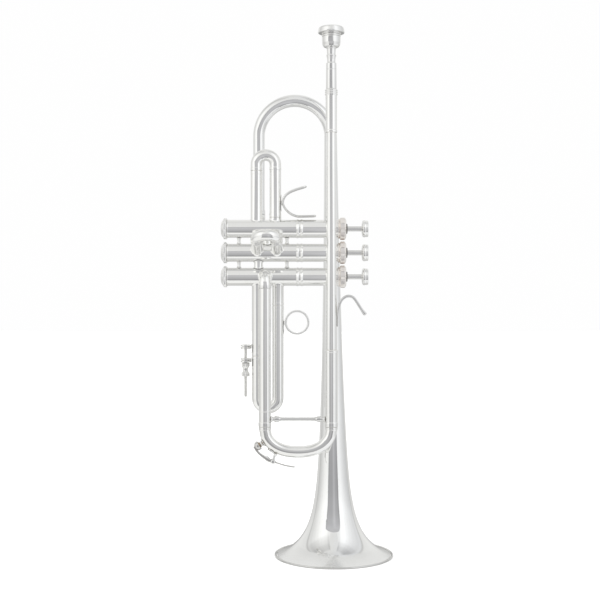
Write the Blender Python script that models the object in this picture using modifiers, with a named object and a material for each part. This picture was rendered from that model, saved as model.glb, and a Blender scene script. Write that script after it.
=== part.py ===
"""B-flat trumpet, standing on its bell.

The horn stands on the bell rim with the mouthpiece up.  X runs from the
bottom valve caps to the finger buttons, Y from the leadpipe side (-Y) to the
bell side (+Y), Z up along the bell.  The frame's origin is the middle of the
footprint, on the floor.  Lengths are in millimetres until they reach a mesh.
"""
import math

import bmesh
import bpy
from mathutils import Matrix, Vector

# ------------------------------------------------------------------ drivers
MM = 0.001
BELL_X = 27.2            # bell axis, measured from the footprint's middle
BELL_R = 61.1            # bell rim radius (4 13/16 in bell)
VALVE_Y = -18.8          # plane of the valve axes and of slides 1 and 3
LEAD_Y = -35.5           # plane of the leadpipe and the main tuning slide
LEAD_X = -3.5            # leadpipe axis, from the bell axis
LOWER_X = -70.1          # lower main slide tube, from the bell axis
VALVE_Z = (336.5, 312.1, 287.7)
CASING_R = 9.1
BORE_R = 8.25            # piston bore
UPPER_BORE_R = 8.65      # spring chamber bore, above the guide ledge
PISTON_R = 7.9
LEDGE_X = -38.0          # casing ledge that carries the valve guide
STROKE = 13.2
BOW_R = 37.1             # bell bow
BOW_Z = 433.2
TAIL_X = -77.4           # bell tail leg
TAIL_Z = 352.2
BRASS = 0.5              # tube wall
SLIDE_R = 5.85           # outer radius of the valve slides
MALE_R = 5.1             # inner slide tubes
GAP = 0.3                # clearance between pieces that touch
S1_X = (-79.3, -60.0)    # first slide legs
S3_X = (-78.0, -57.4)    # third slide legs
S2_X = (-78.0, -58.2)    # second slide legs
S2_TILT = math.radians(24)
CROOK_Z = 136.4          # where the main slide crook begins
CROOK_DROP = 24.7        # depth of the crook's centre line
CROOK_N = 2.3            # squareness of the crook
CROOK_R = 5.8
PIVOT = (-62.0, 102.2)   # water key pivot (x, z)

# ------------------------------------------------------------------ scene
for o in list(bpy.data.objects):
    bpy.data.objects.remove(o, do_unlink=True)
scene = bpy.context.scene
parts = bpy.data.collections.new("trumpet")
cutters = bpy.data.collections.new("cutters")
scene.collection.children.link(parts)
scene.collection.children.link(cutters)


def material(name, colour, metallic, roughness):
    m = bpy.data.materials.new(name)
    m.use_nodes = True
    b = m.node_tree.nodes["Principled BSDF"]
    b.inputs["Base Color"].default_value = (*colour, 1)
    b.inputs["Metallic"].default_value = metallic
    b.inputs["Roughness"].default_value = roughness
    return m


SILVER = ((0.86, 0.86, 0.84), 1.0, 0.10)
STEEL = ((0.62, 0.63, 0.64), 1.0, 0.25)
FELT = ((0.05, 0.05, 0.05), 0.0, 0.95)
PEARL = ((0.85, 0.84, 0.80), 0.0, 0.20)
CORK = ((0.50, 0.33, 0.18), 0.0, 0.80)
MONEL = ((0.60, 0.59, 0.56), 1.0, 0.22)


def P(x, y, z):
    """Bell-axis millimetres to frame metres."""
    return Vector(((x + BELL_X) * MM, y * MM, z * MM))


def finish(ob, look, keep=True):
    (parts if keep else cutters).objects.link(ob)
    if keep:
        ob.data.materials.append(material(ob.name + "_finish", *look))
    else:
        ob.hide_render = True
        ob.display_type = "WIRE"
    if ob.type == "MESH":
        ob.data.shade_smooth()
        ob.data.set_sharp_from_angle(angle=math.radians(35))
    return ob


def turned(name, loop, origin, axis="Z", sides=18, look=SILVER, keep=True, closed=True):
    """A turned piece: loop of (radius, height), outside downwards, inside up.

    axis is where the loop's height points: Z up, X to the buttons, or a vector."""
    me = bpy.data.meshes.new(name)
    bm = bmesh.new()
    vs = [bm.verts.new((r * MM, 0, h * MM)) for r, h in loop]
    for a, b in zip(vs, vs[1:]):
        bm.edges.new((a, b))
    if closed:
        bm.edges.new((vs[-1], vs[0]))
    bm.to_mesh(me)
    bm.free()
    ob = bpy.data.objects.new(name, me)
    s = ob.modifiers.new("turn", "SCREW")
    s.angle = 2 * math.pi
    s.steps = s.render_steps = sides
    s.axis = "Z"
    s.use_merge_vertices = True
    s.merge_threshold = 0.00001
    ob.location = origin
    if axis != "Z":
        v = Vector((1, 0, 0)) if axis == "X" else Vector(axis)
        ob.rotation_mode = "QUATERNION"
        ob.rotation_quaternion = Vector((0, 0, 1)).rotation_difference(v)
    return finish(ob, look, keep)


def rod(name, a, b, r, sides=14, look=SILVER, keep=False):
    """A plain round bar from a to b (frame metres), radius r in mm."""
    d = b - a
    h = d.length / MM
    return turned(name, [(0, h), (r, h), (r, 0), (0, 0)], a, d.normalized(), sides, look, keep, closed=False)


def path_curve(name, stations, sides, caps):
    """Round section swept through stations of (point, radius in mm)."""
    cu = bpy.data.curves.new(name, "CURVE")
    cu.dimensions = "3D"
    cu.twist_mode = "MINIMUM"
    cu.bevel_depth = MM
    cu.bevel_resolution = (sides - 4) // 2
    cu.use_fill_caps = caps
    sp = cu.splines.new("POLY")
    sp.points.add(len(stations) - 1)
    for p, (q, r) in zip(sp.points, stations):
        p.co = (*q, 1)
        p.radius = r
    return bpy.data.objects.new(name, cu)


def tube(name, stations, sides=14, wall=BRASS, look=SILVER, keep=True):
    """A hollow bent tube: an open swept skin, thickened inwards."""
    ob = path_curve(name, stations, sides, False)
    m = ob.modifiers.new("wall", "SOLIDIFY")
    m.thickness = wall * MM
    m.offset = -1
    m.use_even_offset = True
    return finish(ob, look, keep)


def wire(name, stations, sides=10, look=SILVER, keep=True):
    """A solid bent rod with filled ends."""
    return finish(path_curve(name, stations, sides, True), look, keep)


def strap(name, line, thick, width, y, look=SILVER, keep=True):
    """A flat strap that follows line in the XZ plane, width along Y."""
    pts = [Vector(p) for p in line]
    left, right = [], []
    for i, p in enumerate(pts):
        t = (pts[min(i + 1, len(pts) - 1)] - pts[max(i - 1, 0)]).normalized()
        n = Vector((-t.y, t.x))
        h = thick / 2
        left.append(p + n * h)
        right.append(p - n * h)
    t0 = (pts[0] - pts[1]).normalized() * thick * 0.45
    t1 = (pts[-1] - pts[-2]).normalized() * thick * 0.45
    ring = left + [pts[-1] + t1] + right[::-1] + [pts[0] + t0]
    cu = bpy.data.curves.new(name, "CURVE")
    cu.dimensions = "2D"
    cu.fill_mode = "BOTH"
    cu.extrude = width / 2 * MM
    sp = cu.splines.new("POLY")
    sp.points.add(len(ring) - 1)
    sp.use_cyclic_u = True
    for p, q in zip(sp.points, ring):
        p.co = ((q.x + BELL_X) * MM, q.y * MM, 0, 1)
    ob = bpy.data.objects.new(name, cu)
    ob.rotation_euler = (math.pi / 2, 0, 0)
    ob.location = (0, y * MM, 0)
    return finish(ob, look, keep)


def box(name, lo, hi, look=SILVER, keep=False):
    me = bpy.data.meshes.new(name)
    bm = bmesh.new()
    bmesh.ops.create_cube(bm, size=1)
    lo, hi = Vector(lo), Vector(hi)
    size = hi - lo
    bmesh.ops.scale(bm, vec=size * MM, verts=bm.verts)
    bm.to_mesh(me)
    bm.free()
    ob = bpy.data.objects.new(name, me)
    mid = (lo + hi) / 2
    ob.location = P(*mid)
    return finish(ob, look, keep)


def meshed(ob):
    """A curve piece as a welded mesh, so that it can be cut and joined."""
    bpy.context.view_layer.update()
    deps = bpy.context.evaluated_depsgraph_get()
    me = bpy.data.meshes.new_from_object(ob.evaluated_get(deps))
    bm = bmesh.new()
    bm.from_mesh(me)
    bmesh.ops.remove_doubles(bm, verts=bm.verts, dist=0.000005)
    if bm.calc_volume(signed=True) < 0:
        bmesh.ops.reverse_faces(bm, faces=bm.faces)
    bm.to_mesh(me)
    bm.free()
    new = bpy.data.objects.new(ob.name + ".m", me)
    new.matrix_world = ob.matrix_world.copy()
    for c in list(ob.users_collection):
        c.objects.link(new)
    new.hide_render, new.display_type = ob.hide_render, ob.display_type
    name = ob.name
    bpy.data.objects.remove(ob, do_unlink=True)
    new.name = name
    me.shade_smooth()
    me.set_sharp_from_angle(angle=math.radians(35))
    return new


def boolean(ob, tools, op):
    for i, t in enumerate(tools):
        m = ob.modifiers.new(f"{op.lower()}_{i}", "BOOLEAN")
        m.operation = op
        m.object = t
        m.solver = "EXACT"
    return ob


def join(ob, *tools):
    return boolean(ob, tools, "UNION")


def cut(ob, *tools):
    return boolean(ob, tools, "DIFFERENCE")


def arc(c, r, a0, a1, n, u, v):
    """n + 1 points on a circle about c from a0 to a1 degrees, in the plane u, v."""
    out = []
    for i in range(n + 1):
        a = math.radians(a0 + (a1 - a0) * i / n)
        out.append(Vector(c) + Vector(u) * r * math.cos(a) + Vector(v) * r * math.sin(a))
    return out


UX, UY, UZ = Vector((1, 0, 0)), Vector((0, 1, 0)), Vector((0, 0, 1))

# ------------------------------------------------------------------ bell
# The bell's outside radius is a slow cone plus three exponentials: the long
# throat, the flare and the last turn-out at the rim.


def flare(z):
    return 4.42 + 16.74 * math.exp(-z / 210) + 31.62 * math.exp(-z / 22.5) + 8.75 * math.exp(-z / 6)


def bell_x(z):
    """The bell leans slightly, from its rim to the bow's right leg."""
    return (TAIL_X + 2 * BOW_R) * min(1.0, z / BOW_Z)


stations = [(P(TAIL_X, 0, TAIL_Z), 5.9), (P(TAIL_X, 0, 395), 5.95)]
for k, p in enumerate(arc((TAIL_X + BOW_R, 0, BOW_Z), BOW_R, 180, 0, 10, UX, UZ)):
    stations.append((P(*p), 5.95 + 0.05 * k))
z, heights = 385.0, []
while z > 1.0:
    heights.append(z)
    z -= 1.4 + z * 0.27
heights.append(0.7)
for z in heights:
    stations.append((P(bell_x(z), 0, z), min(flare(z), BELL_R - 1.95)))
tube("bell", stations, sides=18, wall=0.45)
turned("bell_rim_wire", [(BELL_R - 1.5, 1.7), (BELL_R - 0.5, 1.7), (BELL_R, 1.1), (BELL_R, 0.35),
                         (BELL_R - 0.3, 0), (BELL_R - 1.65, 0)], P(0, 0, 0), sides=28)

# ------------------------------------------------------------------ valve cluster


def casing_tool(i, r):
    return turned(f"clear_{i}_{r:.1f}", [(0, 4), (r, 4), (r, -110), (0, -110)],
                  P(0, VALVE_Y, VALVE_Z[i]), "X", 22, keep=False, closed=False)


def elbow(name, x, y_end, z_leg, i, r, side, wall=0.55):
    """Knuckle from an upright tube at (x, y_end) into the front or back of casing i."""
    y0 = VALVE_Y + side * CASING_R
    bend = abs(y_end - y0)
    zc = VALVE_Z[i] + (bend if z_leg > VALVE_Z[i] else -bend)
    up = 1 if z_leg > VALVE_Z[i] else -1
    pts = [(P(x, VALVE_Y + side * 4.5, VALVE_Z[i]), r)]
    for p in arc((x, y0, zc), bend, -90 * up, 0, 4, UY * side, UZ):
        pts.append((P(*p), r))
    ring = r + 0.5
    pts.append((P(x, y_end, z_leg - up * 4.5), r))
    pts.append((P(x, y_end, z_leg - up * 4.0), ring))
    pts.append((P(x, y_end, z_leg), ring))
    ob = meshed(tube(name, pts, sides=12, wall=wall))
    return cut(ob, casing_tool(i, CASING_R + GAP))


elbow("bell_knuckle", TAIL_X, 0.0, TAIL_Z - GAP, 0, 6.1, 1)
elbow("leadpipe_knuckle", LOWER_X, LEAD_Y, 275.6, 2, 6.2, -1)

CASING_LOOP = [(0, 8.6), (9.0, 8.6), (9.0, 3.1), (CASING_R, 3.1), (CASING_R, -31.8), (9.7, -32.4),
               (9.7, -38.4), (CASING_R, -39.0), (CASING_R, -109.3), (8.85, -109.3), (8.85, -112.8), (0, -112.8)]
BORE_LOOP = [(0, 12), (UPPER_BORE_R, 12), (UPPER_BORE_R, LEDGE_X), (BORE_R, LEDGE_X), (BORE_R, -116), (0, -116)]


def casing(i, sleeves, ports, posts=()):
    """Casing i with its soldered slide tubes and pillars, bored and ported.

    sleeves: (start, end, outer r, inner r, collar end or None, collar r)."""
    here = P(0, VALVE_Y, VALVE_Z[i])
    n = f"valve_{i + 1}"
    ob = turned(f"{n}_casing", CASING_LOOP, here, "X", 18, closed=False)
    adds, cuts = [], []
    for k, (a, b, r_out, r_in, collar, r_collar) in enumerate(sleeves):
        d = (b - a).normalized()
        h = (b - a).length / MM
        loop = [(0, h), (r_out, h), (r_out, 0), (0, 0)]
        if collar is not None:
            loop = [(0, h), (r_out, h), (r_out, collar + 0.5), (r_collar, collar), (r_collar, 0), (0, 0)]
        adds.append(turned(f"{n}_tube_{k}", loop, a, d, 12, keep=False, closed=False))
        cuts.append(rod(f"{n}_tube_bore_{k}", a, b + d * 2 * MM, r_in, 12))
    for k, (a, b) in enumerate(posts):
        d = (b - a).normalized()
        h = (b - a).length / MM
        adds.append(turned(f"{n}_post_{k}", [(0, h), (2.4, h), (1.5, h - 2.2), (1.5, 2.4), (2.4, 0.4), (0, 0.4)],
                           a, d, 8, keep=False, closed=False))
    for k, (a, b, r) in enumerate(ports):
        cuts.append(rod(f"{n}_port_{k}", a, b, r, 10))
    bore = turned(f"{n}_bore", BORE_LOOP, here, "X", 18, keep=False, closed=False)
    join(ob, *adds)
    return cut(ob, bore, *cuts)


def at(i, x, dy=0.0, dz=0.0):
    return P(x, VALVE_Y + dy, VALVE_Z[i] + dz)


XO = -77.2               # crossover between casings 2 and 3
XN = -68.1               # crossover between casings 1 and 2
S2_DIR = Vector((0, -math.cos(S2_TILT), math.sin(S2_TILT)))
S2_SLEEVE = 28.0         # casing axis to the end of the second slide's sleeves

casing(0, [(at(0, S1_X[0]), P(S1_X[0], VALVE_Y, 395.3), SLIDE_R, 5.4, None, 0),
           (at(0, S1_X[1]), P(S1_X[1], VALVE_Y, 386.0), MALE_R, 4.65, 11.2, SLIDE_R)],
       [(at(0, TAIL_X), at(0, TAIL_X, dy=12), 5.2), (at(0, XN), at(0, XN, dz=-12), 3.6)])
casing(1, [(at(1, x), at(1, x) + S2_DIR * S2_SLEEVE * MM, SLIDE_R, 5.4, None, 0) for x in S2_X],
       [(at(1, XN), at(1, XN, dz=12), 3.6), (at(1, XO), at(1, XO, dz=-12), 3.6)],
       posts=[(at(1, x, dz=s * 8.3), at(1, x, dz=s * 15.0)) for x in (-97.0, -48.1) for s in (1, -1)])
casing(2, [(at(2, S3_X[0]), P(S3_X[0], VALVE_Y, 207.0), SLIDE_R, 5.4, None, 0),
           (at(2, S3_X[1]), P(S3_X[1], VALVE_Y, 189.0), MALE_R, 4.65, VALVE_Z[2] - 258.6, SLIDE_R)],
       [(at(2, LOWER_X), at(2, LOWER_X, dy=-12), 5.2), (at(2, XO), at(2, XO, dz=12), 3.6)])

for name, i, x in (("crossover_tube_2_3", 2, XO), ("crossover_tube_1_2", 1, XN)):
    ob = turned(name, [(3.6, 16.4), (4.5, 16.4), (4.5, 8.0), (3.6, 8.0)], at(i, x), sides=10)
    cut(ob, casing_tool(i, CASING_R + GAP + 0.01), casing_tool(i - 1, CASING_R + GAP + 0.01))

for i in range(3):
    n = f"valve_{i + 1}"
    here = P(0, VALVE_Y, VALVE_Z[i])
    turned(f"{n}_bottom_cap", [(9.2, -109.7), (11.0, -109.7), (11.0, -112.1), (7.8, -114.6), (1.6, -115.5),
                               (1.6, -114.0), (9.2, -113.2)], here, "X", 14)
    turned(f"{n}_top_cap", [(3.0, 12.2), (10.2, 12.2), (11.3, 10.4), (11.4, 6.6), (10.0, 3.5), (9.35, 3.5),
                            (9.35, 9.6), (3.0, 10.0)], here, "X", 14)
    turned(f"{n}_cap_felt", [(3.0, 13.6), (6.2, 13.6), (6.2, 12.5), (3.0, 12.5)], here, "X", 12, FELT)
    # piston: bored body below, slotted spring barrel above
    ob = turned(f"{n}_piston", [(2.7, 5.0), (7.6, 5.0), (7.6, -45.5), (PISTON_R, -46), (PISTON_R, -88), (0, -88),
                                (0, -47.5), (6.3, -47.5), (6.3, 3.4), (2.7, 3.4)],
                here, "X", 16, MONEL, closed=True)
    slot = box(f"{n}_slot", (-39.0, VALVE_Y - 12, VALVE_Z[i] - 1.9), (-20.6, VALVE_Y + 12, VALVE_Z[i] + 1.9))
    passages = []
    for k, (x, d) in enumerate(((-80.8, (0, 1, 1)), (-67.4, (0, 1, -1)), (-54.0, (0, 0, 1)))):
        v = Vector(d).normalized() * 12 * MM
        passages.append(rod(f"{n}_passage_{k}", at(i, x) - v, at(i, x) + v, 4.6, 8))
    cut(ob, slot, *passages)
    # guide bar on the casing's ledge, through the barrel's slots
    g = turned(f"{n}_guide", [(0, -35.6), (8.35, -35.6), (8.35, -37.6), (0, -37.6)], here, "X", 12, STEEL, closed=False)
    side = [box(f"{n}_guide_side_{s}", (-40, VALVE_Y - 12, VALVE_Z[i] + (1.5 if s > 0 else -12)),
                (-33, VALVE_Y + 12, VALVE_Z[i] + (12 if s > 0 else -1.5))) for s in (1, -1)]
    cut(g, *side)
    turns, per, a, b = 4, 6, -34.9, 2.6
    coil = []
    for k in range(turns * per + 1):
        t = k / (turns * per)
        w = 2 * math.pi * k / per
        coil.append((P(a + (b - a) * t, VALVE_Y + 5.1 * math.cos(w), VALVE_Z[i] + 5.1 * math.sin(w)), 0.45))
    wire(f"{n}_spring", coil, 4, STEEL)
    turned(f"{n}_stem", [(0, 32.4), (1.9, 32.4), (1.9, 27.4), (2.55, 27.4), (2.55, 3.6), (0, 3.6)], here, "X", 10,
           closed=False)
    turned(f"{n}_button", [(7.3, 34.5), (8.2, 34.5), (8.6, 33.3), (8.6, 29.4), (7.2, 28.0), (2.25, 28.0),
                           (2.25, 32.7), (7.3, 32.7)], here, "X", 14)
    turned(f"{n}_pearl", [(0, 34.4), (6.9, 33.9), (6.9, 33.1), (0, 33.1)], here, "X", 12, PEARL,
           closed=False)

# ------------------------------------------------------------------ valve slides
LEG = 0.45               # slide tube wall


def slide(name, legs, up, a_top, b_top, step, bend_at, look=SILVER):
    """U tube: inner leg a under a ferrule at step, crook, outer sleeve leg b.

    legs give the two leg axes as points; up is the direction towards the crook."""
    pa, pb = legs
    r = (pb - pa).length / 2
    mid, side = (pa + pb) / 2, (pa - pb).normalized()
    st = [(pa + up * a_top * MM, MALE_R), (pa + up * (step - 0.1) * MM, MALE_R),
          (pa + up * (step + 0.5) * MM, SLIDE_R)]
    for k in range(7):
        w = math.pi * k / 6
        st.append((mid + up * bend_at * MM + side * r * math.cos(w) + up * r * math.sin(w), SLIDE_R))
    st.append((pb + up * b_top * MM, SLIDE_R))
    return tube(name, st, 12, LEG, look)


slide("first_slide", (P(S1_X[0], VALVE_Y, 0), P(S1_X[1], VALVE_Y, 0)), UZ, 356, 348.0, 395.7, 402.0)
slide("third_slide", (P(S3_X[0], VALVE_Y, 0), P(S3_X[1], VALVE_Y, 0)), -UZ, -262, -258.3, -206.6, -164.9)
a, b = at(1, S2_X[0]), at(1, S2_X[1])
r2 = (S2_X[1] - S2_X[0]) / 2
st = [(a + S2_DIR * 13.0 * MM, MALE_R), (a + S2_DIR * (S2_SLEEVE + 0.2) * MM, MALE_R),
      (a + S2_DIR * (S2_SLEEVE + 0.6) * MM, SLIDE_R)]
for k in range(7):
    w = math.pi * k / 6
    st.append(((a + b) / 2 + S2_DIR * 29.6 * MM - UX * r2 * MM * math.cos(w) + S2_DIR * r2 * MM * math.sin(w), SLIDE_R))
st += [(b + S2_DIR * (S2_SLEEVE + 0.6) * MM, SLIDE_R), (b + S2_DIR * (S2_SLEEVE + 0.2) * MM, MALE_R),
       (b + S2_DIR * 13.0 * MM, MALE_R)]
tube("second_slide", st, 12, LEG)

# thumb saddle on the first slide
saddle = meshed(strap("thumb_saddle", [(-18.6, 349.8), (-29, 349.5), (-38.5, 349.7), (-44.5, 352.3), (-49.5, 357.0),
                                       (-52.0, 362.6), (-50.8, 368.4), (-46.3, 373.0), (-38, 376.6), (-28.0, 379.5)],
                      2.3, 11.0, VALVE_Y))
foot = box("saddle_foot", (-53.6, VALVE_Y - 2.5, 348.8), (-51.4, VALVE_Y + 2.5, 378.0))
join(saddle, foot)

# finger ring on the third slide
ring = wire("finger_ring", [(P(*p), 1.15) for p in arc((-37.9, VALVE_Y, 241.2), 11.55, 0, 342, 19, UX, UZ)], 6)
ring.data.splines[0].use_cyclic_u = True
ring = meshed(ring)
join(ring, box("ring_foot", (-51.2, VALVE_Y - 2.2, 227.5), (-48.9, VALVE_Y + 2.2, 243.0)))

# third slide stop: post on the fixed tube, rod, sliding eye, nuts
STOP_X = -90.3
hole = rod("stop_hole", P(STOP_X, VALVE_Y, 160), P(STOP_X, VALVE_Y, 225), 1.65, 10)


def lug(name, z0, z1, r, z_foot0, z_foot1, clear):
    ob = turned(name, [(0, z1), (r, z1), (r, z0), (0, z0)],
                P(STOP_X, VALVE_Y, 0), sides=12, closed=False)
    arm = box(name + "_arm", (STOP_X, VALVE_Y - 2.4, z0 + 0.4), (S3_X[0] - 3, VALVE_Y + 2.4, z1 - 0.4))
    foot = box(name + "_foot", (S3_X[0] - 7.4, VALVE_Y - 3.0, z_foot0), (S3_X[0] - 3, VALVE_Y + 3.0, z_foot1))
    fit = rod(name + "_seat", P(S3_X[0], VALVE_Y, z_foot0 - 5), P(S3_X[0], VALVE_Y, z_foot1 + 5), clear, 12)
    join(ob, arm, foot)
    return cut(ob, fit, hole)


lug("stop_post", 214.2, 218.6, 5.3, 209.5, 219.5, SLIDE_R + GAP + 0.05)
lug("stop_eye", 200.6, 204.8, 5.3, 196.8, 205.2, SLIDE_R + 0.7)
turned("stop_rod", [(0, 219.0), (1.3, 219.0), (1.3, 165.4), (0, 165.4)], P(STOP_X, VALVE_Y, 0),
       sides=8, closed=False)
turned("stop_nuts", [(1.65, 200.1), (4.15, 200.1), (4.15, 196.0), (2.7, 194.6), (2.7, 191.4), (4.15, 190.0),
                     (4.15, 186.3), (1.65, 186.3)], P(STOP_X, VALVE_Y, 0), sides=12)

# ------------------------------------------------------------------ mouthpiece and leadpipe
lead = P(LEAD_X, LEAD_Y, 0)
turned("mouthpiece", [(8.6, 537.0), (9.6, 537.8), (12.5, 537.7), (13.3, 536.6), (13.3, 531.6), (12.2, 530.7),
                      (9.2, 530.0), (9.2, 519.4), (7.8, 517.3), (4.4, 516.6), (4.2, 509.6), (5.0, 509.2),
                      (4.9, 508.0), (4.1, 501.9), (5.1, 501.2), (5.3, 476.6), (4.5, 453.9), (4.0, 453.9),
                      (1.85, 519.6), (2.0, 522.4), (6.6, 528.2), (7.9, 532.6)], lead, sides=16)
turned("mouthpiece_receiver", [(5.6, 475.2), (6.5, 475.2), (6.5, 469.2), (5.75, 468.7), (5.65, 434.6),
                               (5.95, 434.2), (5.95, 431.9), (5.0, 431.9), (5.0, 449.9)], lead, sides=16)
turned("leadpipe", [(4.15, 449.2), (4.6, 449.2), (4.65, 431), (5.7, 217), (5.7, 214.3), (5.45, 214.0), (5.45, 203.0),
                    (4.95, 203.0), (4.95, 214.0), (4.2, 431)], lead, sides=16)
turned("upper_slide_tube", [(5.95, 213.7), (6.8, 213.7), (6.8, 211.7), (6.4, 211.3), (6.4, 139.8),
                            (6.7, 139.4), (6.7, 136.9), (5.95, 136.9)], lead, sides=16)
turned("lower_slide_tube", [(5.6, 275.3), (6.05, 275.3), (6.05, 139.8), (6.5, 139.4), (6.5, 136.9), (5.6, 136.9)],
       P(LOWER_X, LEAD_Y, 0), sides=16)

# ------------------------------------------------------------------ main tuning slide
HALF = (LEAD_X - LOWER_X) / 2
CROOK_C = ((LEAD_X + LOWER_X) / 2, CROOK_Z)


def crook(deg, out=0.0):
    """Point on the crook's centre line at an angle from the lower leg, moved out along its normal."""
    w = math.radians(deg)
    c, s = math.cos(w), math.sin(w)
    e = 2 / CROOK_N
    x = -HALF * math.copysign(abs(c) ** e, c)
    z = -CROOK_DROP * abs(s) ** e
    nx = math.copysign((abs(x) / HALF) ** (CROOK_N - 1) / HALF, x)
    nz = -((abs(z) / CROOK_DROP) ** (CROOK_N - 1)) / CROOK_DROP
    n = Vector((nx, nz)).normalized() * out
    return P(CROOK_C[0] + x + n.x, LEAD_Y, CROOK_C[1] + z + n.y)


def crook_stations(r, a=0, b=180, n=14):
    return [(crook(a + (b - a) * k / n), r) for k in range(n + 1)]


low, top = P(LOWER_X, LEAD_Y, 0), P(LEAD_X, LEAD_Y, 0)
st = [(low + UZ * 190 * MM, 5.3), (low + UZ * 136.7 * MM, 5.3), (low + UZ * 136.3 * MM, 6.2),
      (low + UZ * 134.0 * MM, 6.2)]
mid = crook_stations(CROOK_R)[2:-2]
st += mid
st += [(top + UZ * 134.0 * MM, 6.2), (top + UZ * 136.3 * MM, 6.2), (top + UZ * 136.7 * MM, 5.65),
       (top + UZ * 190 * MM, 5.65)]
main = meshed(tube("main_tuning_slide", st, 12, 0.5))
NIP = 27                 # angle of the water key's nipple on the crook
nip_a, nip_b = crook(NIP, CROOK_R - 1.0), crook(NIP, CROOK_R + 3.1)
nd = (nip_b - nip_a).normalized()
nipple = turned("nipple", [(0, 4.1), (2.3, 4.1), (2.5, 3.4), (2.5, 2.4), (3.4, 1.2), (3.4, 0.3), (0, 0.3)], nip_a, nd, 12,
                keep=False, closed=False)
join(main, nipple)
cut(main, rod("nipple_bore", crook(NIP, CROOK_R - 3.2), nip_b + nd * MM, 1.5, 10))

turned("main_slide_brace", [(0, 53.5), (3.0, 53.5), (2.0, 51.6), (2.9, 49.0), (2.9, 45.6), (1.6, 43.4), (1.6, 10.1),
                            (2.9, 7.9), (2.9, 4.5), (2.0, 1.9), (3.0, 0), (0, 0)], P(LOWER_X + 6.4, LEAD_Y, 144.6), "X", 10,
       closed=False)

# ------------------------------------------------------------------ water key
px, pz = PIVOT
cutter_crook = meshed(wire("crook_clear", crook_stations(CROOK_R + GAP, 10, 100, 12), 14, keep=False))
ears = [meshed(strap(f"ear_{k}", [(px - 0.6, pz - 1.6), (px, pz + 0.6), (px + 0.9, pz + 5.0), (px + 2.2, pz + 14.0)],
                     3.8, 1.2, LEAD_Y + d, keep=False)) for k, d in enumerate((-3.3, 3.3))]
bracket = box("water_key_bracket", (px - 1.6, LEAD_Y - 3.9, pz + 6.6), (px + 4.4, LEAD_Y + 3.9, pz + 16), keep=True)
pin = rod("water_key_pin", P(px, LEAD_Y - 4.6, pz), P(px, LEAD_Y + 4.6, pz), 0.95, 10)
join(bracket, *ears, pin)
cut(bracket, cutter_crook)

cup_a, cup_b = crook(NIP, CROOK_R + 4.5), crook(NIP, CROOK_R + 9.2)
lever = meshed(strap("water_key_lever", [(-81.0, 117.4), (-79.9, 115.7), (-78.2, 113.0), (-75.2, 109.7), (-70.0, 105.9), (-66.4, 103.6), (px, pz),
                                         (-56.6, 100.3), (-50, 98.3), (-39.9, 96.6)], 1.7, 3.0, LEAD_Y - 1.1))
hub = rod("lever_hub", P(px, LEAD_Y - 2.55, pz), P(px, LEAD_Y + 0.3, pz), 2.5, 14)
cup = rod("lever_cup", cup_a, cup_b, 4.0, 16)
join(lever, hub, cup)
cut(lever, rod("hub_hole", P(px, LEAD_Y - 5, pz), P(px, LEAD_Y + 5, pz), 1.25, 10),
    rod("cup_recess", cup_a - nd * MM, cup_b - nd * 1.6 * MM, 3.2, 14))
cork_a, cork_b = crook(NIP, CROOK_R + 3.4), crook(NIP, CROOK_R + 7.2)
rod("water_key_cork", cork_a, cork_b, 2.85, 14, CORK, keep=True)
coil = [(P(-66.5, LEAD_Y + 1.0, 106.3), 0.35)]
for k in range(13):
    w = math.radians(150 - 60 * k)
    coil.append((P(px + 1.95 * math.cos(w), LEAD_Y + 0.95 + 1.35 * k / 12, pz + 1.95 * math.sin(w)), 0.35))
coil.append((P(px - 0.4, LEAD_Y + 2.2, pz + 5.5), 0.35))
wire("water_key_spring", coil, 6, STEEL)

# ------------------------------------------------------------------ braces and hook


def s_brace(name, a, b, foot):
    d = b - a
    st = [(a, foot), (a + UY * 0.7 * MM, foot)]
    for k in range(1, 8):
        t = k / 8
        s = t * t * (3 - 2 * t)
        q = Vector((a.x + d.x * t, a.y + d.y * t, a.z + d.z * s))
        st.append((q, 2.2 if k in (1, 7) else 1.6))
    st += [(b - UY * 0.7 * MM, foot), (b, foot)]
    return wire(name, st, 8)


s_brace("leadpipe_brace_upper", P(LEAD_X, LEAD_Y + 5.25, 389), P(-3.1, -7.3, 405), 3.6)
s_brace("leadpipe_brace_lower", P(LEAD_X, LEAD_Y + 6.05, 228), P(-1.8, -10.7, 240), 3.6)

hook_line = [(3.45, 236.9), (3.45, 248.0), (3.8, 256.5)]
hook_line += [(14.4 + 11.0 * math.cos(math.radians(w)), 256.9 + 11.0 * math.sin(math.radians(w)))
              for w in range(165, 20, -20)]
hook_line += [(26.6, 254.4), (29.2, 250.9), (31.4, 248.6)]
strap("finger_hook", hook_line, 2.0, 7.0, LEAD_Y)
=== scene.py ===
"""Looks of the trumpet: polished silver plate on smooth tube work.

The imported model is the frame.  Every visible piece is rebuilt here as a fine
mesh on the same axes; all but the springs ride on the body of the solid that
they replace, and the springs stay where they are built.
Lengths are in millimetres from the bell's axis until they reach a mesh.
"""
import math

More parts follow.
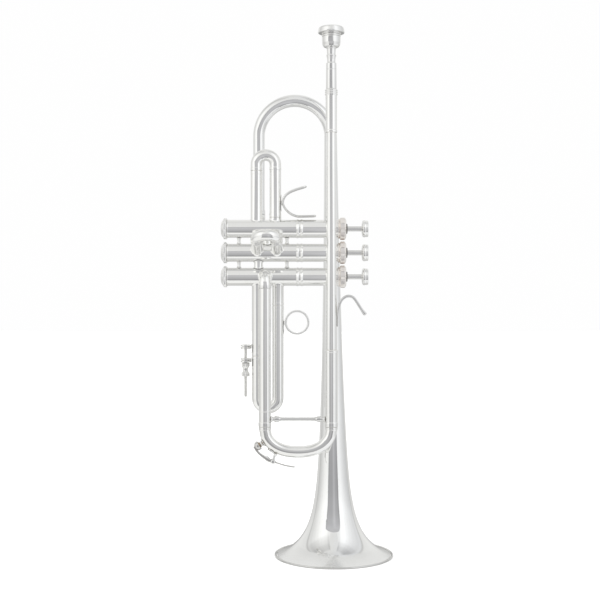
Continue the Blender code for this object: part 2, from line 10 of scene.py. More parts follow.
import bmesh
import bpy
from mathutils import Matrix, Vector


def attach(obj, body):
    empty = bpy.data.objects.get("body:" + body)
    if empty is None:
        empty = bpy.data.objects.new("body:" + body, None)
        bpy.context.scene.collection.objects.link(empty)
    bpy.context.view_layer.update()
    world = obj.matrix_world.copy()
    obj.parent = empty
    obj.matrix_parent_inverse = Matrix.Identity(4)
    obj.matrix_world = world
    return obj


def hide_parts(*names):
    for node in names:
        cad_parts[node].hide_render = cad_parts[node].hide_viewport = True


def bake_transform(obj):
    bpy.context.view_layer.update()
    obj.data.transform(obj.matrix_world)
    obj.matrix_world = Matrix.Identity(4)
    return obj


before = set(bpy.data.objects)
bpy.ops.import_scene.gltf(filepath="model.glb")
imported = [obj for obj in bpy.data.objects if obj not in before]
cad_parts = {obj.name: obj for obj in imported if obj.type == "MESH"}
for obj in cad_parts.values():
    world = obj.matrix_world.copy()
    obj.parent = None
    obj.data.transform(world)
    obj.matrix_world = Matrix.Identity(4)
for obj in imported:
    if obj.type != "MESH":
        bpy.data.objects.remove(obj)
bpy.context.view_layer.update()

MM = 0.001
BELL_X = 27.2
BELL_R = 61.1
VALVE_Y = -18.8
LEAD_Y = -35.5
LEAD_X = -3.5
LOWER_X = -70.1
VALVE_Z = (336.5, 312.1, 287.7)
CASING_R = 9.1
BOW_R = 37.1
BOW_Z = 433.2
TAIL_X = -77.4
TAIL_Z = 352.2
SLIDE_R = 5.85
MALE_R = 5.1
S1_X = (-79.3, -60.0)
S3_X = (-78.0, -57.4)
S2_X = (-78.0, -58.2)
S2_TILT = math.radians(24)
S2_DIR = Vector((0, -math.cos(S2_TILT), math.sin(S2_TILT)))
S2_SLEEVE = 28.0
XO = -77.2
XN = -68.1
CROOK_Z = 136.4
CROOK_DROP = 24.7
CROOK_N = 2.3
CROOK_R = 5.8
PIVOT = (-62.0, 102.2)
NIP = 27
STOP_X = -90.3

UX, UY, UZ = Vector((1, 0, 0)), Vector((0, 1, 0)), Vector((0, 0, 1))


def P(x, y, z):
    return Vector(((x + BELL_X) * MM, y * MM, z * MM))


def smooth(t):
    t = max(0.0, min(1.0, t))
    return t * t * (3 - 2 * t)


# ------------------------------------------------------------------ materials
class Graph:
    """A material's node tree with the few nodes used here."""

    def __init__(self, name):
        self.m = bpy.data.materials.new(name)
        self.m.use_nodes = True
        self.t = self.m.node_tree
        self.b = self.t.nodes["Principled BSDF"]
        self.xyz = self.t.nodes.new("ShaderNodeTexCoord").outputs["Object"]

    def node(self, kind, **values):
        n = self.t.nodes.new(kind)
        for k, v in values.items():
            n.inputs[k.replace("_", " ")].default_value = v
        return n

    def link(self, a, b):
        self.t.links.new(a, b)

    def scaled(self, sx, sy, sz):
        n = self.t.nodes.new("ShaderNodeMapping")
        n.inputs["Scale"].default_value = (sx, sy, sz)
        self.link(self.xyz, n.inputs["Vector"])
        return n.outputs["Vector"]

    def noise(self, scale, detail=4.0, rough=0.55, vector=None, distortion=0.0):
        n = self.node("ShaderNodeTexNoise", Scale=scale, Detail=detail, Roughness=rough, Distortion=distortion)
        self.link(vector or self.xyz, n.inputs["Vector"])
        return n.outputs["Fac"]

    def ramp(self, fac, stops):
        n = self.t.nodes.new("ShaderNodeValToRGB")
        e = n.color_ramp.elements
        while len(e) < len(stops):
            e.new(0.5)
        for k, (pos, col) in enumerate(stops):
            e[k].position = pos
            e[k].color = (*col, 1) if len(col) == 3 else col
        self.link(fac, n.inputs["Fac"])
        return n.outputs["Color"]

    def maprange(self, fac, a, b, c, d):
        n = self.t.nodes.new("ShaderNodeMapRange")
        for k, v in zip(("From Min", "From Max", "To Min", "To Max"), (a, b, c, d)):
            n.inputs[k].default_value = v
        self.link(fac, n.inputs["Value"])
        return n.outputs["Result"]

    def mix(self, fac, a, b, kind="MIX"):
        n = self.t.nodes.new("ShaderNodeMix")
        n.data_type = "RGBA"
        n.blend_type = kind
        for s, v in (("Factor", fac), ("A", a), ("B", b)):
            i = [x for x in n.inputs if x.name == s and x.enabled][0]
            if isinstance(v, (float, int)):
                i.default_value = v
            elif isinstance(v, tuple):
                i.default_value = (*v, 1)
            else:
                self.link(v, i)
        return [x for x in n.outputs if x.enabled][0]

    def bump(self, height, strength, distance, normal=None):
        n = self.node("ShaderNodeBump", Strength=strength, Distance=distance)
        self.link(height, n.inputs["Height"])
        if normal is not None:
            self.link(normal, n.inputs["Normal"])
        return n.outputs["Normal"]


def silver(name, light, dark, warm, rough=(0.035, 0.10), tarnish_and_shade=0.45, tarnish_shade_tone=None, soft_foot=0.0):
    """Silver plate: buffed, with hairlines, faint smears, and tarnish plus painted shade in the corners, where ambient
    occlusion darkens it; soft_foot dulls it near the floor.
    """
    g = Graph(name)
    cloud = g.noise(38.0, 5.0, 0.6)
    smear = g.noise(260.0, 4.0, 0.65, distortion=0.6)
    base = g.ramp(cloud, [(0.30, dark), (0.62, light)])
    film = g.ramp(smear, [(0.46, (0, 0, 0)), (0.78, (0.20, 0.20, 0.20))])
    base = g.mix(film, base, warm)
    # painted shade: where ambient occlusion finds a corner or groove, the colour is darkened towards a tarnish tone,
    # partly real tarnish in the hollows and partly painted shade
    ao = g.t.nodes.new("ShaderNodeAmbientOcclusion")
    ao.samples = 4
    ao.inputs["Distance"].default_value = 0.0035
    tarnish_shade_mask = g.maprange(ao.outputs["AO"], 0.15, 0.85, tarnish_and_shade, 0.0)
    base = g.mix(tarnish_shade_mask, base, tarnish_shade_tone or (warm[0] * 0.80, warm[1] * 0.76, warm[2] * 0.70))
    g.link(base, g.b.inputs["Base Color"])
    g.b.inputs["Metallic"].default_value = 1.0
    worn = g.maprange(smear, 0.35, 0.75, *rough)
    if soft_foot:
        split = g.t.nodes.new("ShaderNodeSeparateXYZ")
        g.link(g.xyz, split.inputs[0])
        add = g.node("ShaderNodeMath")
        add.operation = "ADD"
        g.link(worn, add.inputs[0])
        g.link(g.maprange(split.outputs["Z"], 0.004, 0.012, soft_foot, 0.0), add.inputs[1])
        worn = add.outputs[0]
    g.link(worn, g.b.inputs["Roughness"])
    hair = g.noise(1.0, 2.0, 0.5, g.scaled(5200, 5200, 260))
    fine = g.noise(2400.0, 3.0, 0.6)
    n = g.bump(hair, 0.035, 0.00002)
    n = g.bump(fine, 0.03, 0.00002, n)
    g.link(n, g.b.inputs["Normal"])
    return g.m


PLATE = silver("silver_plate_look", (0.955, 0.955, 0.945), (0.925, 0.924, 0.912), (0.90, 0.87, 0.80), tarnish_and_shade=0.30)
BELLY = silver("silver_bell_look", (0.925, 0.928, 0.925), (0.90, 0.902, 0.897), (0.885, 0.87, 0.82), (0.03, 0.075), 0.25, soft_foot=0.20)
# the caps' pinkish warm tint is a painted reflection of copper and brass colours
CAPS = silver("silver_cap_look", (0.97, 0.945, 0.92), (0.93, 0.885, 0.845), (0.84, 0.71, 0.61), (0.05, 0.12), 0.60)
TRIM = silver("silver_trim_look", (0.93, 0.93, 0.925), (0.89, 0.89, 0.88), (0.88, 0.86, 0.81), (0.03, 0.08), 0.10)
# the dark grey corner tones of the mouthpiece, handled, rim, fitting and water key looks paint shade into their grooves
# and corners; the handled look is partly wear and mostly painted shade
MOUTH = silver("mouthpiece_look", (0.90, 0.90, 0.895), (0.86, 0.86, 0.85), (0.85, 0.83, 0.78), (0.02, 0.05), 0.70, (0.30, 0.28, 0.25))
WORN_AND_SHADED = silver("silver_handled_shaded_look", (0.93, 0.93, 0.92), (0.88, 0.88, 0.865), (0.85, 0.82, 0.75), (0.04, 0.10), 0.85, (0.24, 0.22, 0.19))
BASE = silver("silver_base_cap_look", (0.985, 0.985, 0.98), (0.96, 0.96, 0.95), (0.93, 0.91, 0.86), (0.20, 0.32), 0.30)
RIM = silver("silver_rim_look", (0.78, 0.78, 0.775), (0.72, 0.72, 0.71), (0.70, 0.68, 0.63), (0.04, 0.10), 0.60, (0.34, 0.33, 0.30))
FITTING = silver("silver_fitting_look", (0.92, 0.92, 0.91), (0.87, 0.87, 0.855), (0.85, 0.82, 0.76), (0.04, 0.10), 0.45, (0.52, 0.50, 0.46))
KEY = silver("water_key_look", (0.76, 0.755, 0.74), (0.68, 0.675, 0.66), (0.66, 0.63, 0.57), (0.04, 0.10), 0.85, (0.22, 0.20, 0.17))
STEM = silver("stem_look", (0.80, 0.80, 0.795), (0.74, 0.74, 0.735), (0.72, 0.70, 0.66), (0.05, 0.12), 0.5)


def lapped(name, base, rough):
    g = Graph(name)
    cloud = g.noise(90.0, 4.0)
    g.link(g.ramp(cloud, [(0.3, tuple(c * 0.84 for c in base)), (0.7, base)]), g.b.inputs["Base Color"])
    g.b.inputs["Metallic"].default_value = 1.0
    g.link(g.maprange(cloud, 0.3, 0.7, rough, rough + 0.12), g.b.inputs["Roughness"])
    turn = g.noise(1.0, 2.0, 0.5, g.scaled(9000, 400, 400))
    g.link(g.bump(turn, 0.12, 0.00003), g.b.inputs["Normal"])
    return g.m


def felt(name):
    g = Graph(name)
    fibre = g.noise(2600.0, 6.0, 0.7, distortion=1.2)
    cloud = g.noise(420.0, 3.0)
    base = g.ramp(fibre, [(0.3, (0.012, 0.012, 0.013)), (0.75, (0.075, 0.072, 0.070))])
    g.link(g.mix(g.maprange(cloud, 0.4, 0.7, 0.0, 0.4), base, (0.10, 0.095, 0.09)), g.b.inputs["Base Color"])
    g.link(g.maprange(fibre, 0.3, 0.7, 0.88, 1.0), g.b.inputs["Roughness"])
    g.b.inputs["Sheen Weight"].default_value = 0.35
    g.link(g.bump(fibre, 0.8, 0.0002), g.b.inputs["Normal"])
    return g.m


def pearl(name):
    g = Graph(name)
    n = g.t.nodes.new("ShaderNodeTexWave")
    n.inputs["Scale"].default_value = 160.0
    n.inputs["Distortion"].default_value = 9.0
    n.inputs["Detail"].default_value = 3.0
    n.inputs["Detail Scale"].default_value = 2.2
    g.link(g.xyz, n.inputs["Vector"])
    band = g.ramp(n.outputs["Fac"], [(0.0, (0.80, 0.80, 0.74)), (0.35, (0.90, 0.87, 0.80)), (0.62, (0.80, 0.86, 0.84)),
                                     (1.0, (0.93, 0.91, 0.88))])
    pink = g.maprange(g.noise(170.0, 3.0, distortion=2.0), 0.4, 0.75, 0.0, 0.5)
    g.link(g.mix(pink, band, (0.90, 0.78, 0.77)), g.b.inputs["Base Color"])
    g.link(g.maprange(n.outputs["Fac"], 0.0, 1.0, 0.12, 0.24), g.b.inputs["Roughness"])
    g.b.inputs["Coat Weight"].default_value = 0.6
    g.b.inputs["Coat Roughness"].default_value = 0.05
    g.link(g.bump(n.outputs["Fac"], 0.06, 0.00004), g.b.inputs["Normal"])
    return g.m


def cork(name):
    g = Graph(name)
    v = g.t.nodes.new("ShaderNodeTexVoronoi")
    v.inputs["Scale"].default_value = 1500.0
    g.link(g.xyz, v.inputs["Vector"])
    cells = g.ramp(v.outputs["Distance"], [(0.0, (0.14, 0.10, 0.065)), (0.35, (0.27, 0.205, 0.14)), (0.8, (0.37, 0.30, 0.22))])
    pits = g.ramp(g.noise(900.0, 5.0, 0.7), [(0.36, (0.10, 0.055, 0.03)), (0.48, (1, 1, 1))])
    g.link(g.mix(1.0, cells, pits, "MULTIPLY"), g.b.inputs["Base Color"])
    g.link(g.maprange(v.outputs["Distance"], 0.0, 0.7, 0.95, 0.75), g.b.inputs["Roughness"])
    g.link(g.bump(v.outputs["Distance"], 0.5, 0.0001), g.b.inputs["Normal"])
    return g.m


MONEL = lapped("piston_look", (0.66, 0.64, 0.60), 0.18)
STEEL = lapped("spring_look", (0.66, 0.67, 0.69), 0.16)
BRASS = lapped("guide_look", (0.78, 0.62, 0.33), 0.22)
FELT = felt("felt_look")
PEARL = pearl("pearl_look")
CORK = cork("cork_look")


# ------------------------------------------------------------------ meshes
def volume(vs, fs):
    total = 0.0
    for f in fs:
        a = vs[f[0]]
        for i in range(1, len(f) - 1):
            total += a.dot(vs[f[i]].cross(vs[f[i + 1]]))
    return total


def shell(rings, loop=False):
    """A closed skin through rings of points; a ring of one point is a pole."""
    vs, idx = [], []
    for r in rings:
        idx.append(list(range(len(vs), len(vs) + len(r))))
        vs += r
    n = max(len(r) for r in rings)
    fs = []
    for a, b in list(zip(idx, idx[1:])) + ([(idx[-1], idx[0])] if loop else []):
        if len(a) == 1 and len(b) == 1:
            continue
        for k in range(n):
            m = (k + 1) % n
            if len(a) == 1:
                fs.append((a[0], b[m], b[k]))
            elif len(b) == 1:
                fs.append((a[k], a[m], b[0]))
            else:
                fs.append((a[k], a[m], b[m], b[k]))
    if not loop:
        if len(idx[0]) > 1:
            fs.append(tuple(reversed(idx[0])))
        if len(idx[-1]) > 1:
            fs.append(tuple(idx[-1]))
    if volume(vs, fs) < 0:
        fs = [tuple(reversed(f)) for f in fs]
    return vs, fs


def across(d):
    """Two unit vectors square to d."""
    d = d.normalized()
    ref = UY if abs(d.dot(UY)) < 0.9 else UZ
    u = (ref - d * ref.dot(d)).normalized()
    return u, d.cross(u)


def circle(c, u, v, r, n, shape=None):
    out = []
    for k in range(n):
        w = 2 * math.pi * k / n
        q = r if shape is None else shape(r, w)
        out.append(c + (u * math.cos(w) + v * math.sin(w)) * (q * MM))
    return out


def fillet(pts, rad, seg=3, loop=False):
    """Rounds a profile's corners with short curves, rad long on each side."""
    n = len(pts)
    out = []
    for i, p in enumerate(pts):
        if not loop and i in (0, n - 1):
            out.append(p)
            continue
        a, b = Vector(pts[i - 1]), Vector(pts[(i + 1) % n])
        q = Vector(p)
        da, db = a - q, b - q
        la, lb = da.length, db.length
        if la < 1e-6 or lb < 1e-6 or q.x < 1e-6:
            out.append(p)
            continue
        turn = math.pi - da.angle(db)
        if turn < 0.12:
            out.append(p)
            continue
        t = min(rad, la * 0.45, lb * 0.45)
        p0, p1 = q + da / la * t, q + db / lb * t
        for k in range(seg + 1):
            s = k / seg
            w = p0 * (1 - s) ** 2 + q * 2 * s * (1 - s) + p1 * s * s
            out.append((w.x, w.y))
    return out


def eased(pairs, near=0.22, long=1.0, loop=False):
    """Adds a point close to each end of every long segment, so that its shading stays true."""
    out = []
    n = len(pairs)
    for i, p in enumerate(pairs):
        out.append(tuple(p))
        if i == n - 1 and not loop:
            break
        q = pairs[(i + 1) % n]
        size = math.hypot(q[0] - p[0], q[1] - p[1])
        if size > long and min(p[0], q[0]) > 1e-6:
            for t in (near / size, 1 - near / size):
                out.append((p[0] + (q[0] - p[0]) * t, p[1] + (q[1] - p[1]) * t))
    return out


def lathe(profile, origin, axis=UZ, n=56, loop=False, rad=0.25, knurl=None, seg=3):
    d = Vector(axis).normalized()
    u, v = across(d)
    prof = eased(fillet(profile, rad, seg, loop), loop=loop)
    rings = []
    for r, h in prof:
        c = origin + d * (h * MM)
        if r < 1e-6:
            rings.append([c])
        else:
            rings.append(circle(c, u, v, r, n, (lambda q, w, h=h: knurl(q, h, w)) if knurl else None))
    return shell(rings, loop)


def frames(points, closed=False):
    """Tangent and a square pair at each point, carried along without twist."""
    n = len(points)
    tans = []
    for i in range(n):
        a = points[i - 1] if (i or closed) else points[0]
        b = points[(i + 1) % n] if (i < n - 1 or closed) else points[-1]
        tans.append((b - a).normalized())
    u, _ = across(tans[0])
    out = []
    for t in tans:
        u = (u - t * u.dot(t)).normalized()
        out.append((t, u, t.cross(u)))
    return out


def sweep(stations, n=36, wall=None, closed=False, shape=None, tip=0.0):
    """Round section along (point, radius) stations; wall makes it a tube, tip rounds its ends."""
    if not closed:
        full = []
        for (p, r), (q, k) in zip(stations, stations[1:]):
            full.append((p, r))
            size = (q - p).length / MM
            if size > 2.0 and wall:
                full += [(p.lerp(q, t), r + (k - r) * t) for t in (0.25 / size, 1 - 0.25 / size)]
        stations = full + [stations[-1]]
    pts = [p for p, _ in stations]
    fr = frames(pts, closed)
    outer = []
    for i, ((p, r), (t, u, v)) in enumerate(zip(stations, fr)):
        s = (lambda q, w, i=i: shape(q, i / (len(stations) - 1), w)) if shape else None
        outer.append(circle(p, u, v, r, n, s))
    if closed:
        return shell(outer, True)
    if wall:
        inner = [circle(p, u, v, r - wall, n) for (p, r), (t, u, v) in zip(stations, fr)]
        return shell(outer + inner[::-1], True)
    if tip:
        head, tail = [], []
        for k in (3, 2, 1):
            w = math.radians(k * 28)
            for where, (i, sign) in ((head, (0, -1)), (tail, (-1, 1))):
                p, r = stations[i]
                t, u, v = fr[i]
                c = p + t * (sign * r * MM * tip * math.sin(w))
                s = (lambda q, x, i=i: shape(q, 0 if i == 0 else 1, x)) if shape else None
                where.append(circle(c, u, v, r * math.cos(w), n, s))
        outer = head + outer + tail[::-1]
    return shell(outer)


def ribbon(line, thick, width, y, taper=None, bow=None, swell=None):
    """A flat strap with rounded edges along (x, z) points, width along Y."""
    pts = [Vector(p) for p in line]
    dense = []
    for i in range(len(pts) - 1):
        p0, p1, p2, p3 = pts[max(i - 1, 0)], pts[i], pts[i + 1], pts[min(i + 2, len(pts) - 1)]
        for k in range(6):
            t = k / 6
            dense.append(0.5 * (2 * p1 + (p2 - p0) * t + (2 * p0 - 5 * p1 + 4 * p2 - p3) * t * t
                                + (3 * p1 - p0 - 3 * p2 + p3) * t ** 3))
    dense.append(pts[-1])
    rings = []
    last = len(dense) - 1
    for i, p in enumerate(dense):
        t = (dense[min(i + 1, last)] - dense[max(i - 1, 0)]).normalized()
        nrm = Vector((-t.y, t.x))
        s = i / last
        w = width * (taper(s) if taper else 1.0) / 2
        h = thick * (swell(s) if swell else 1.0) / 2
        end = min(i, last - i)
        pinch = (0.45, 0.80, 0.95, 1.0)[min(end, 3)]
        w *= pinch
        h *= pinch
        ring = []
        for k in range(24):
            a = 2 * math.pi * k / 24
            c, q = math.cos(a), math.sin(a)
            yy = math.copysign(abs(c) ** 0.5, c) * w
            hh = math.copysign(abs(q) ** 0.75, q) * h
            if bow:
                hh += bow(s) * (1 - (yy / max(w, 1e-6)) ** 2)
            ring.append(P(p.x + nrm.x * hh, y + yy, p.y + nrm.y * hh))
        rings.append(ring)
    return shell(rings)


def piece(name, shells, look, body, nodes, sharp=38):
    me = bpy.data.meshes.new(name)
    vs, fs = [], []
    for v, f in shells:
        k = len(vs)
        vs += v
        fs += [tuple(i + k for i in q) for q in f]
    me.from_pydata([tuple(v) for v in vs], [], fs)
    me.validate()
    me.update()
    bm = bmesh.new()
    bm.from_mesh(me)
    bmesh.ops.remove_doubles(bm, verts=bm.verts, dist=1e-7)
    bm.to_mesh(me)
    bm.free()
    me.shade_smooth()
    me.set_sharp_from_angle(angle=math.radians(sharp))
    me.materials.append(look)
    ob = bpy.data.objects.new(name, me)
    bpy.context.scene.collection.objects.link(ob)
    if isinstance(body, str):
        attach(ob, body)
    else:
        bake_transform(ob)
    if nodes:
        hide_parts(*([nodes] if isinstance(nodes, str) else nodes))
    return ob


def arc(c, r, a0, a1, n, u=UX, v=UZ):
    out = []
    for i in range(n + 1):
        a = math.radians(a0 + (a1 - a0) * i / n)
        out.append(Vector(c) + u * (r * math.cos(a)) + v * (r * math.sin(a)))
    return out


# ------------------------------------------------------------------ bell
def flare(z):
    return 4.42 + 16.74 * math.exp(-z / 210) + 31.62 * math.exp(-z / 22.5) + 8.75 * math.exp(-z / 6)


def lean(z):
    return (TAIL_X + 2 * BOW_R) * min(1.0, z / BOW_Z)


N_BELL = 112
WALL = 0.5


def turned_ring(c, t, r):
    return circle(c, Vector((t.z, 0, -t.x)).normalized(), UY, r, N_BELL)


path = [(P(TAIL_X, 0, TAIL_Z + 0.0), UZ, 5.9), (P(TAIL_X, 0, TAIL_Z + 2.6), UZ, 5.9)]
for k in range(1, 9):
    path.append((P(TAIL_X, 0, TAIL_Z + 3 + (BOW_Z - TAIL_Z - 3) * k / 8.0), UZ, 5.9 + 0.05 * k / 8))
for k in range(1, 56):
    a = math.radians(180 - 180 * k / 56)
    q = P(TAIL_X + BOW_R + BOW_R * math.cos(a), 0, BOW_Z + BOW_R * math.sin(a))
    path.append((q, Vector((math.sin(a), 0, -math.cos(a))), 5.95 + 0.5 * k / 56))
heights = []
z = BOW_Z
while z > 1.3:
    heights.append(z)
    z -= max(0.28, min(6.0, 0.05 * z))
heights.append(1.15)
R_END = 59.9
for z in heights:
    r = min(flare(z), R_END) if z > 2 else flare(z)
    path.append((P(lean(z), 0, z), -UZ, min(r, R_END)))
outer = [turned_ring(c, t, r) for c, t, r in path]
inner = []
for i, (c, t, r) in enumerate(path):
    z = c.z / MM
    if t.z < -0.999 and z < 300:
        slope = (flare(z - 0.1) - flare(z + 0.1)) / 0.2
        s = math.hypot(1, slope)
        inner.append(turned_ring(c + Vector((0, 0, -slope / s * WALL * MM)), t, r - WALL / s))
    else:
        inner.append(turned_ring(c, t, r - WALL))
inner = [[Vector((p.x, p.y, max(p.z, 0.0004))) for p in ring] for ring in inner]
bell_skin = shell(outer + inner[::-1], True)
# ferrule between the bell tail and its knuckle
tail_ring = lathe([(5.92, 0), (6.45, 0), (6.45, 4.2), (6.2, 4.8), (5.92, 4.8)], P(TAIL_X, 0, TAIL_Z), UZ, 56, True, 0.3)
piece("bell_look", [bell_skin, tail_ring], BELLY, "horn", "bell", sharp=50)

# the rim's rolled bead
bead = []
for k in range(18):
    a = 2 * math.pi * k / 18
    rr = 60.15 + 0.93 * math.cos(a)
    zz = 0.93 + 0.91 * math.sin(a)
    bead.append((min(rr, BELL_R - 0.03), max(zz, 0.02)))
piece("bell_rim_look", [lathe(bead, P(0, 0, 0), UZ, 144, True, 0.0)], RIM, "horn", "bell_rim_wire")


# ------------------------------------------------------------------ casings
def on_casing(i, x, d, r, big, n, lift=0.0):
    """The ring where a round branch of radius r along d meets casing i's surface at radius big."""
    u = UX.cross(d).normalized()
    c = P(x, VALVE_Y, VALVE_Z[i])
    out = []
    for k in range(n):
        w = 2 * math.pi * k / n
        a, b = r * math.cos(w), r * math.sin(w)
        h = math.sqrt(max(big * big - b * b, 0.01)) + lift
        out.append(c + (UX * a + u * b + d * h) * MM)
    return out


def branch(i, x, d, r, r_in, n=40):
    """Rings of a soldered branch from the casing's skin outwards, as (outer, inner) starts."""
    out = [on_casing(i, x, d, r + 1.15, CASING_R + 0.02, n), on_casing(i, x, d, r + 0.55, CASING_R + 0.22, n),
           on_casing(i, x, d, r + 0.18, CASING_R + 0.62, n), on_casing(i, x, d, r, CASING_R + 1.3, n)]
    inn = [on_casing(i, x, d, r_in, CASING_R + 0.02, n)]
    return out, inn


def straight(c, d, specs, n=40):
    """Rings square to d at (distance, radius) from the point c."""
    u = UX.cross(d).normalized()
    rings = []
    for h, r in eased(specs):
        o = c + d * (h * MM)
        rings.append([o + (UX * (r * math.cos(2 * math.pi * k / n)) + u * (r * math.sin(2 * math.pi * k / n))) * MM
                      for k in range(n)])
    return rings


def sleeve(i, x, d, r, r_in, end, extra=()):
    """A slide tube soldered to casing i, with rings at (distance, radius) along it."""
    out, inn = branch(i, x, d, r, r_in)
    c = P(x, VALVE_Y, VALVE_Z[i])
    specs = list(extra) + [(end - 0.25, (extra[-1][1] if extra else r)), (end, (extra[-1][1] if extra else r) - 0.2)]
    out += straight(c, d, specs)
    inner = inn + straight(c, d, [(12.0, r_in), (end, r_in)])
    return shell(out + inner[::-1], True)


def bead_specs(h0, h1, r, rise):
    """A raised ferrule from h0 to h1 on a tube of radius r."""
    return [(h0 - 0.05, r), (h0, r + rise * 0.7), (h0 + 0.2, r + rise), (h1 - 0.2, r + rise), (h1, r + rise * 0.7),
            (h1 + 0.05, r)]


CASING_PROFILE = [(8.65, 8.9), (9.0, 8.9), (9.0, 3.1), (CASING_R, 3.1), (CASING_R, -31.6),
                  (CASING_R, -31.9), (9.68, -33.08), (9.70, -33.15), (9.68, -33.22), (9.12, -34.4),
                  (9.12, -36.15), (9.68, -37.33), (9.70, -37.4), (9.68, -37.47), (CASING_R, -38.65),
                  (CASING_R, -107.9), (9.3, -108.2), (9.3, -109.0),
                  (CASING_R, -109.3), (8.85, -109.3), (8.85, -112.8), (8.3, -112.8)]


def casing_body(i):
    prof = CASING_PROFILE + [(8.3, -38.0), (8.65, -38.0)]
    return lathe(prof, P(0, VALVE_Y, VALVE_Z[i]), UX, 96, True, 0.18, seg=2)


def post(i, x, s):
    a = P(x, VALVE_Y, VALVE_Z[i] + s * 8.95)
    return lathe([(0, 6.2), (2.6, 6.2), (2.35, 5.7), (1.85, 5.0), (1.75, 3.1), (1.85, 1.2), (2.35, 0.5), (2.6, 0), (0, 0)],
                 a, UZ * s, 28, False, 0.5)


z1 = VALVE_Z[0]
piece("valve_1_casing_look", [
    casing_body(0),
    sleeve(0, S1_X[0], UZ, SLIDE_R, 5.4, 395.3 - z1, bead_specs(391.8 - z1, 395.1 - z1, SLIDE_R, 0.14)),
    sleeve(0, S1_X[1], UZ, SLIDE_R, 4.65, 386.0 - z1,
           [(10.7, SLIDE_R), (10.9, SLIDE_R + 0.25), (11.3, SLIDE_R + 0.25), (11.45, MALE_R), (12, MALE_R)]),
], PLATE, "horn", "valve_1_casing")
piece("valve_2_casing_look", [casing_body(1)]
      + [sleeve(1, x, S2_DIR, SLIDE_R, 5.4, S2_SLEEVE, bead_specs(S2_SLEEVE - 3.6, S2_SLEEVE - 0.3, SLIDE_R, 0.28)) for x in S2_X]
      + [post(1, x, s) for x in (-97.0, -48.2) for s in (1, -1)],
      PLATE, "horn", "valve_2_casing")
z3 = VALVE_Z[2]
piece("valve_3_casing_look", [
    casing_body(2),
    sleeve(2, S3_X[0], -UZ, SLIDE_R, 5.4, z3 - 207.0, bead_specs(z3 - 210.6, z3 - 207.3, SLIDE_R, 0.28)),
    sleeve(2, S3_X[1], -UZ, SLIDE_R, 4.65, z3 - 189.0,
           bead_specs(z3 - 261.3, z3 - 258.9, SLIDE_R, 0.25) + [(z3 - 258.6, SLIDE_R), (z3 - 258.5, MALE_R), (z3 - 258, MALE_R)]),
], PLATE, "horn", "valve_3_casing")


def knuckle(name, x, y_end, z_leg, i, r, side, node):
    """Elbow from casing i's skin to an upright tube, with a fillet of solder and a ferrule."""
    d = UY * side
    y0 = VALVE_Y + side * CASING_R
    bend = abs(y_end - y0)
    up = 1 if z_leg > VALVE_Z[i] else -1
    zc = VALVE_Z[i] + up * bend
    n = 40
    out, inn = branch(i, x, d, r, r - 0.5, n)
    u = UX.cross(d).normalized()
    a_list = [8 + 82 * k / 14 for k in range(15)]
    rings, inner = [], []
    for a in a_list:
        w = math.radians(a)
        c = P(x, y0 + side * bend * math.sin(w), zc - up * bend * math.cos(w))
        t = (UY * side * math.cos(w) + UZ * up * math.sin(w)).normalized()
        uu = UX.cross(t).normalized()
        for rr, where in ((r, rings), (r - 0.5, inner)):
            where.append([c + (UX * (rr * math.cos(2 * math.pi * k / n)) + uu * (rr * math.sin(2 * math.pi * k / n))) * MM
                          for k in range(n)])
    t = UZ * up
    uu = UX.cross(t).normalized()
    run = abs(z_leg - zc)
    c = P(x, y_end, zc)

    def at_h(h, rr):
        o = c + t * (h * MM)
        return [o + (UX * (rr * math.cos(2 * math.pi * k / n)) + uu * (rr * math.sin(2 * math.pi * k / n))) * MM
                for k in range(n)]

    for h, rr in ((run - 4.7, r), (run - 4.6, r + 0.28), (run - 4.3, r + 0.42), (run - 0.4, r + 0.42), (run - 0.05, r + 0.28),
                  (run, r + 0.1)):
        if h > 0.2:
            rings.append(at_h(h, rr))
    inner.append(at_h(run, r - 0.5))
    keep = [out[0], out[1], out[2]]
    piece(name, [shell(keep + rings + (inn + inner)[::-1], True)], PLATE, "horn", node)


knuckle("bell_knuckle_look", TAIL_X, 0.0, TAIL_Z - 0.3, 0, 6.1, 1, "bell_knuckle")
knuckle("leadpipe_knuckle_look", LOWER_X, LEAD_Y, 275.6, 2, 6.2, -1, "leadpipe_knuckle")

for name, i, x, node in (("crossover_2_3_look", 2, XO, "crossover_tube_2_3"), ("crossover_1_2_look", 1, XN, "crossover_tube_1_2")):
    n = 36
    lo = [on_casing(i, x, UZ, r, b, n) for r, b in ((5.4, 9.42), (4.85, 9.55), (4.55, 9.95), (4.5, 10.6))]
    hi = [on_casing(i - 1, x, -UZ, r, b, n) for r, b in ((5.4, 9.42), (4.85, 9.55), (4.55, 9.95), (4.5, 10.6))]
    hi = [[ring[(-k) % n] for k in range(n)] for ring in hi]
    low_in = [on_casing(i, x, UZ, 3.9, 9.42, n)]
    hi_in = [on_casing(i - 1, x, -UZ, 3.9, 9.42, n)]
    hi_in = [[ring[(-k) % n] for k in range(n)] for ring in hi_in]
    piece(name, [shell(lo + hi[::-1] + hi_in + low_in, True)], PLATE, "horn", node)

# ------------------------------------------------------------------ caps, stems, buttons
TEETH = 76


def cap_knurl(r, h, w):
    if 5.9 < h < 10.9 and r > 10.6:
        edge = smooth((h - 5.9) / 0.5) * smooth((10.9 - h) / 0.5)
        return r - 0.17 * edge * (0.5 - 0.5 * math.cos(TEETH * w))
    return r


def base_knurl(r, h, w):
    if -112.2 < h < -109.8 and r > 10.5:
        edge = smooth((h + 112.2) / 0.3) * smooth((-109.8 - h) / 0.3)
        return r - 0.22 * edge * (0.5 - 0.5 * math.cos(TEETH * w))
    return r


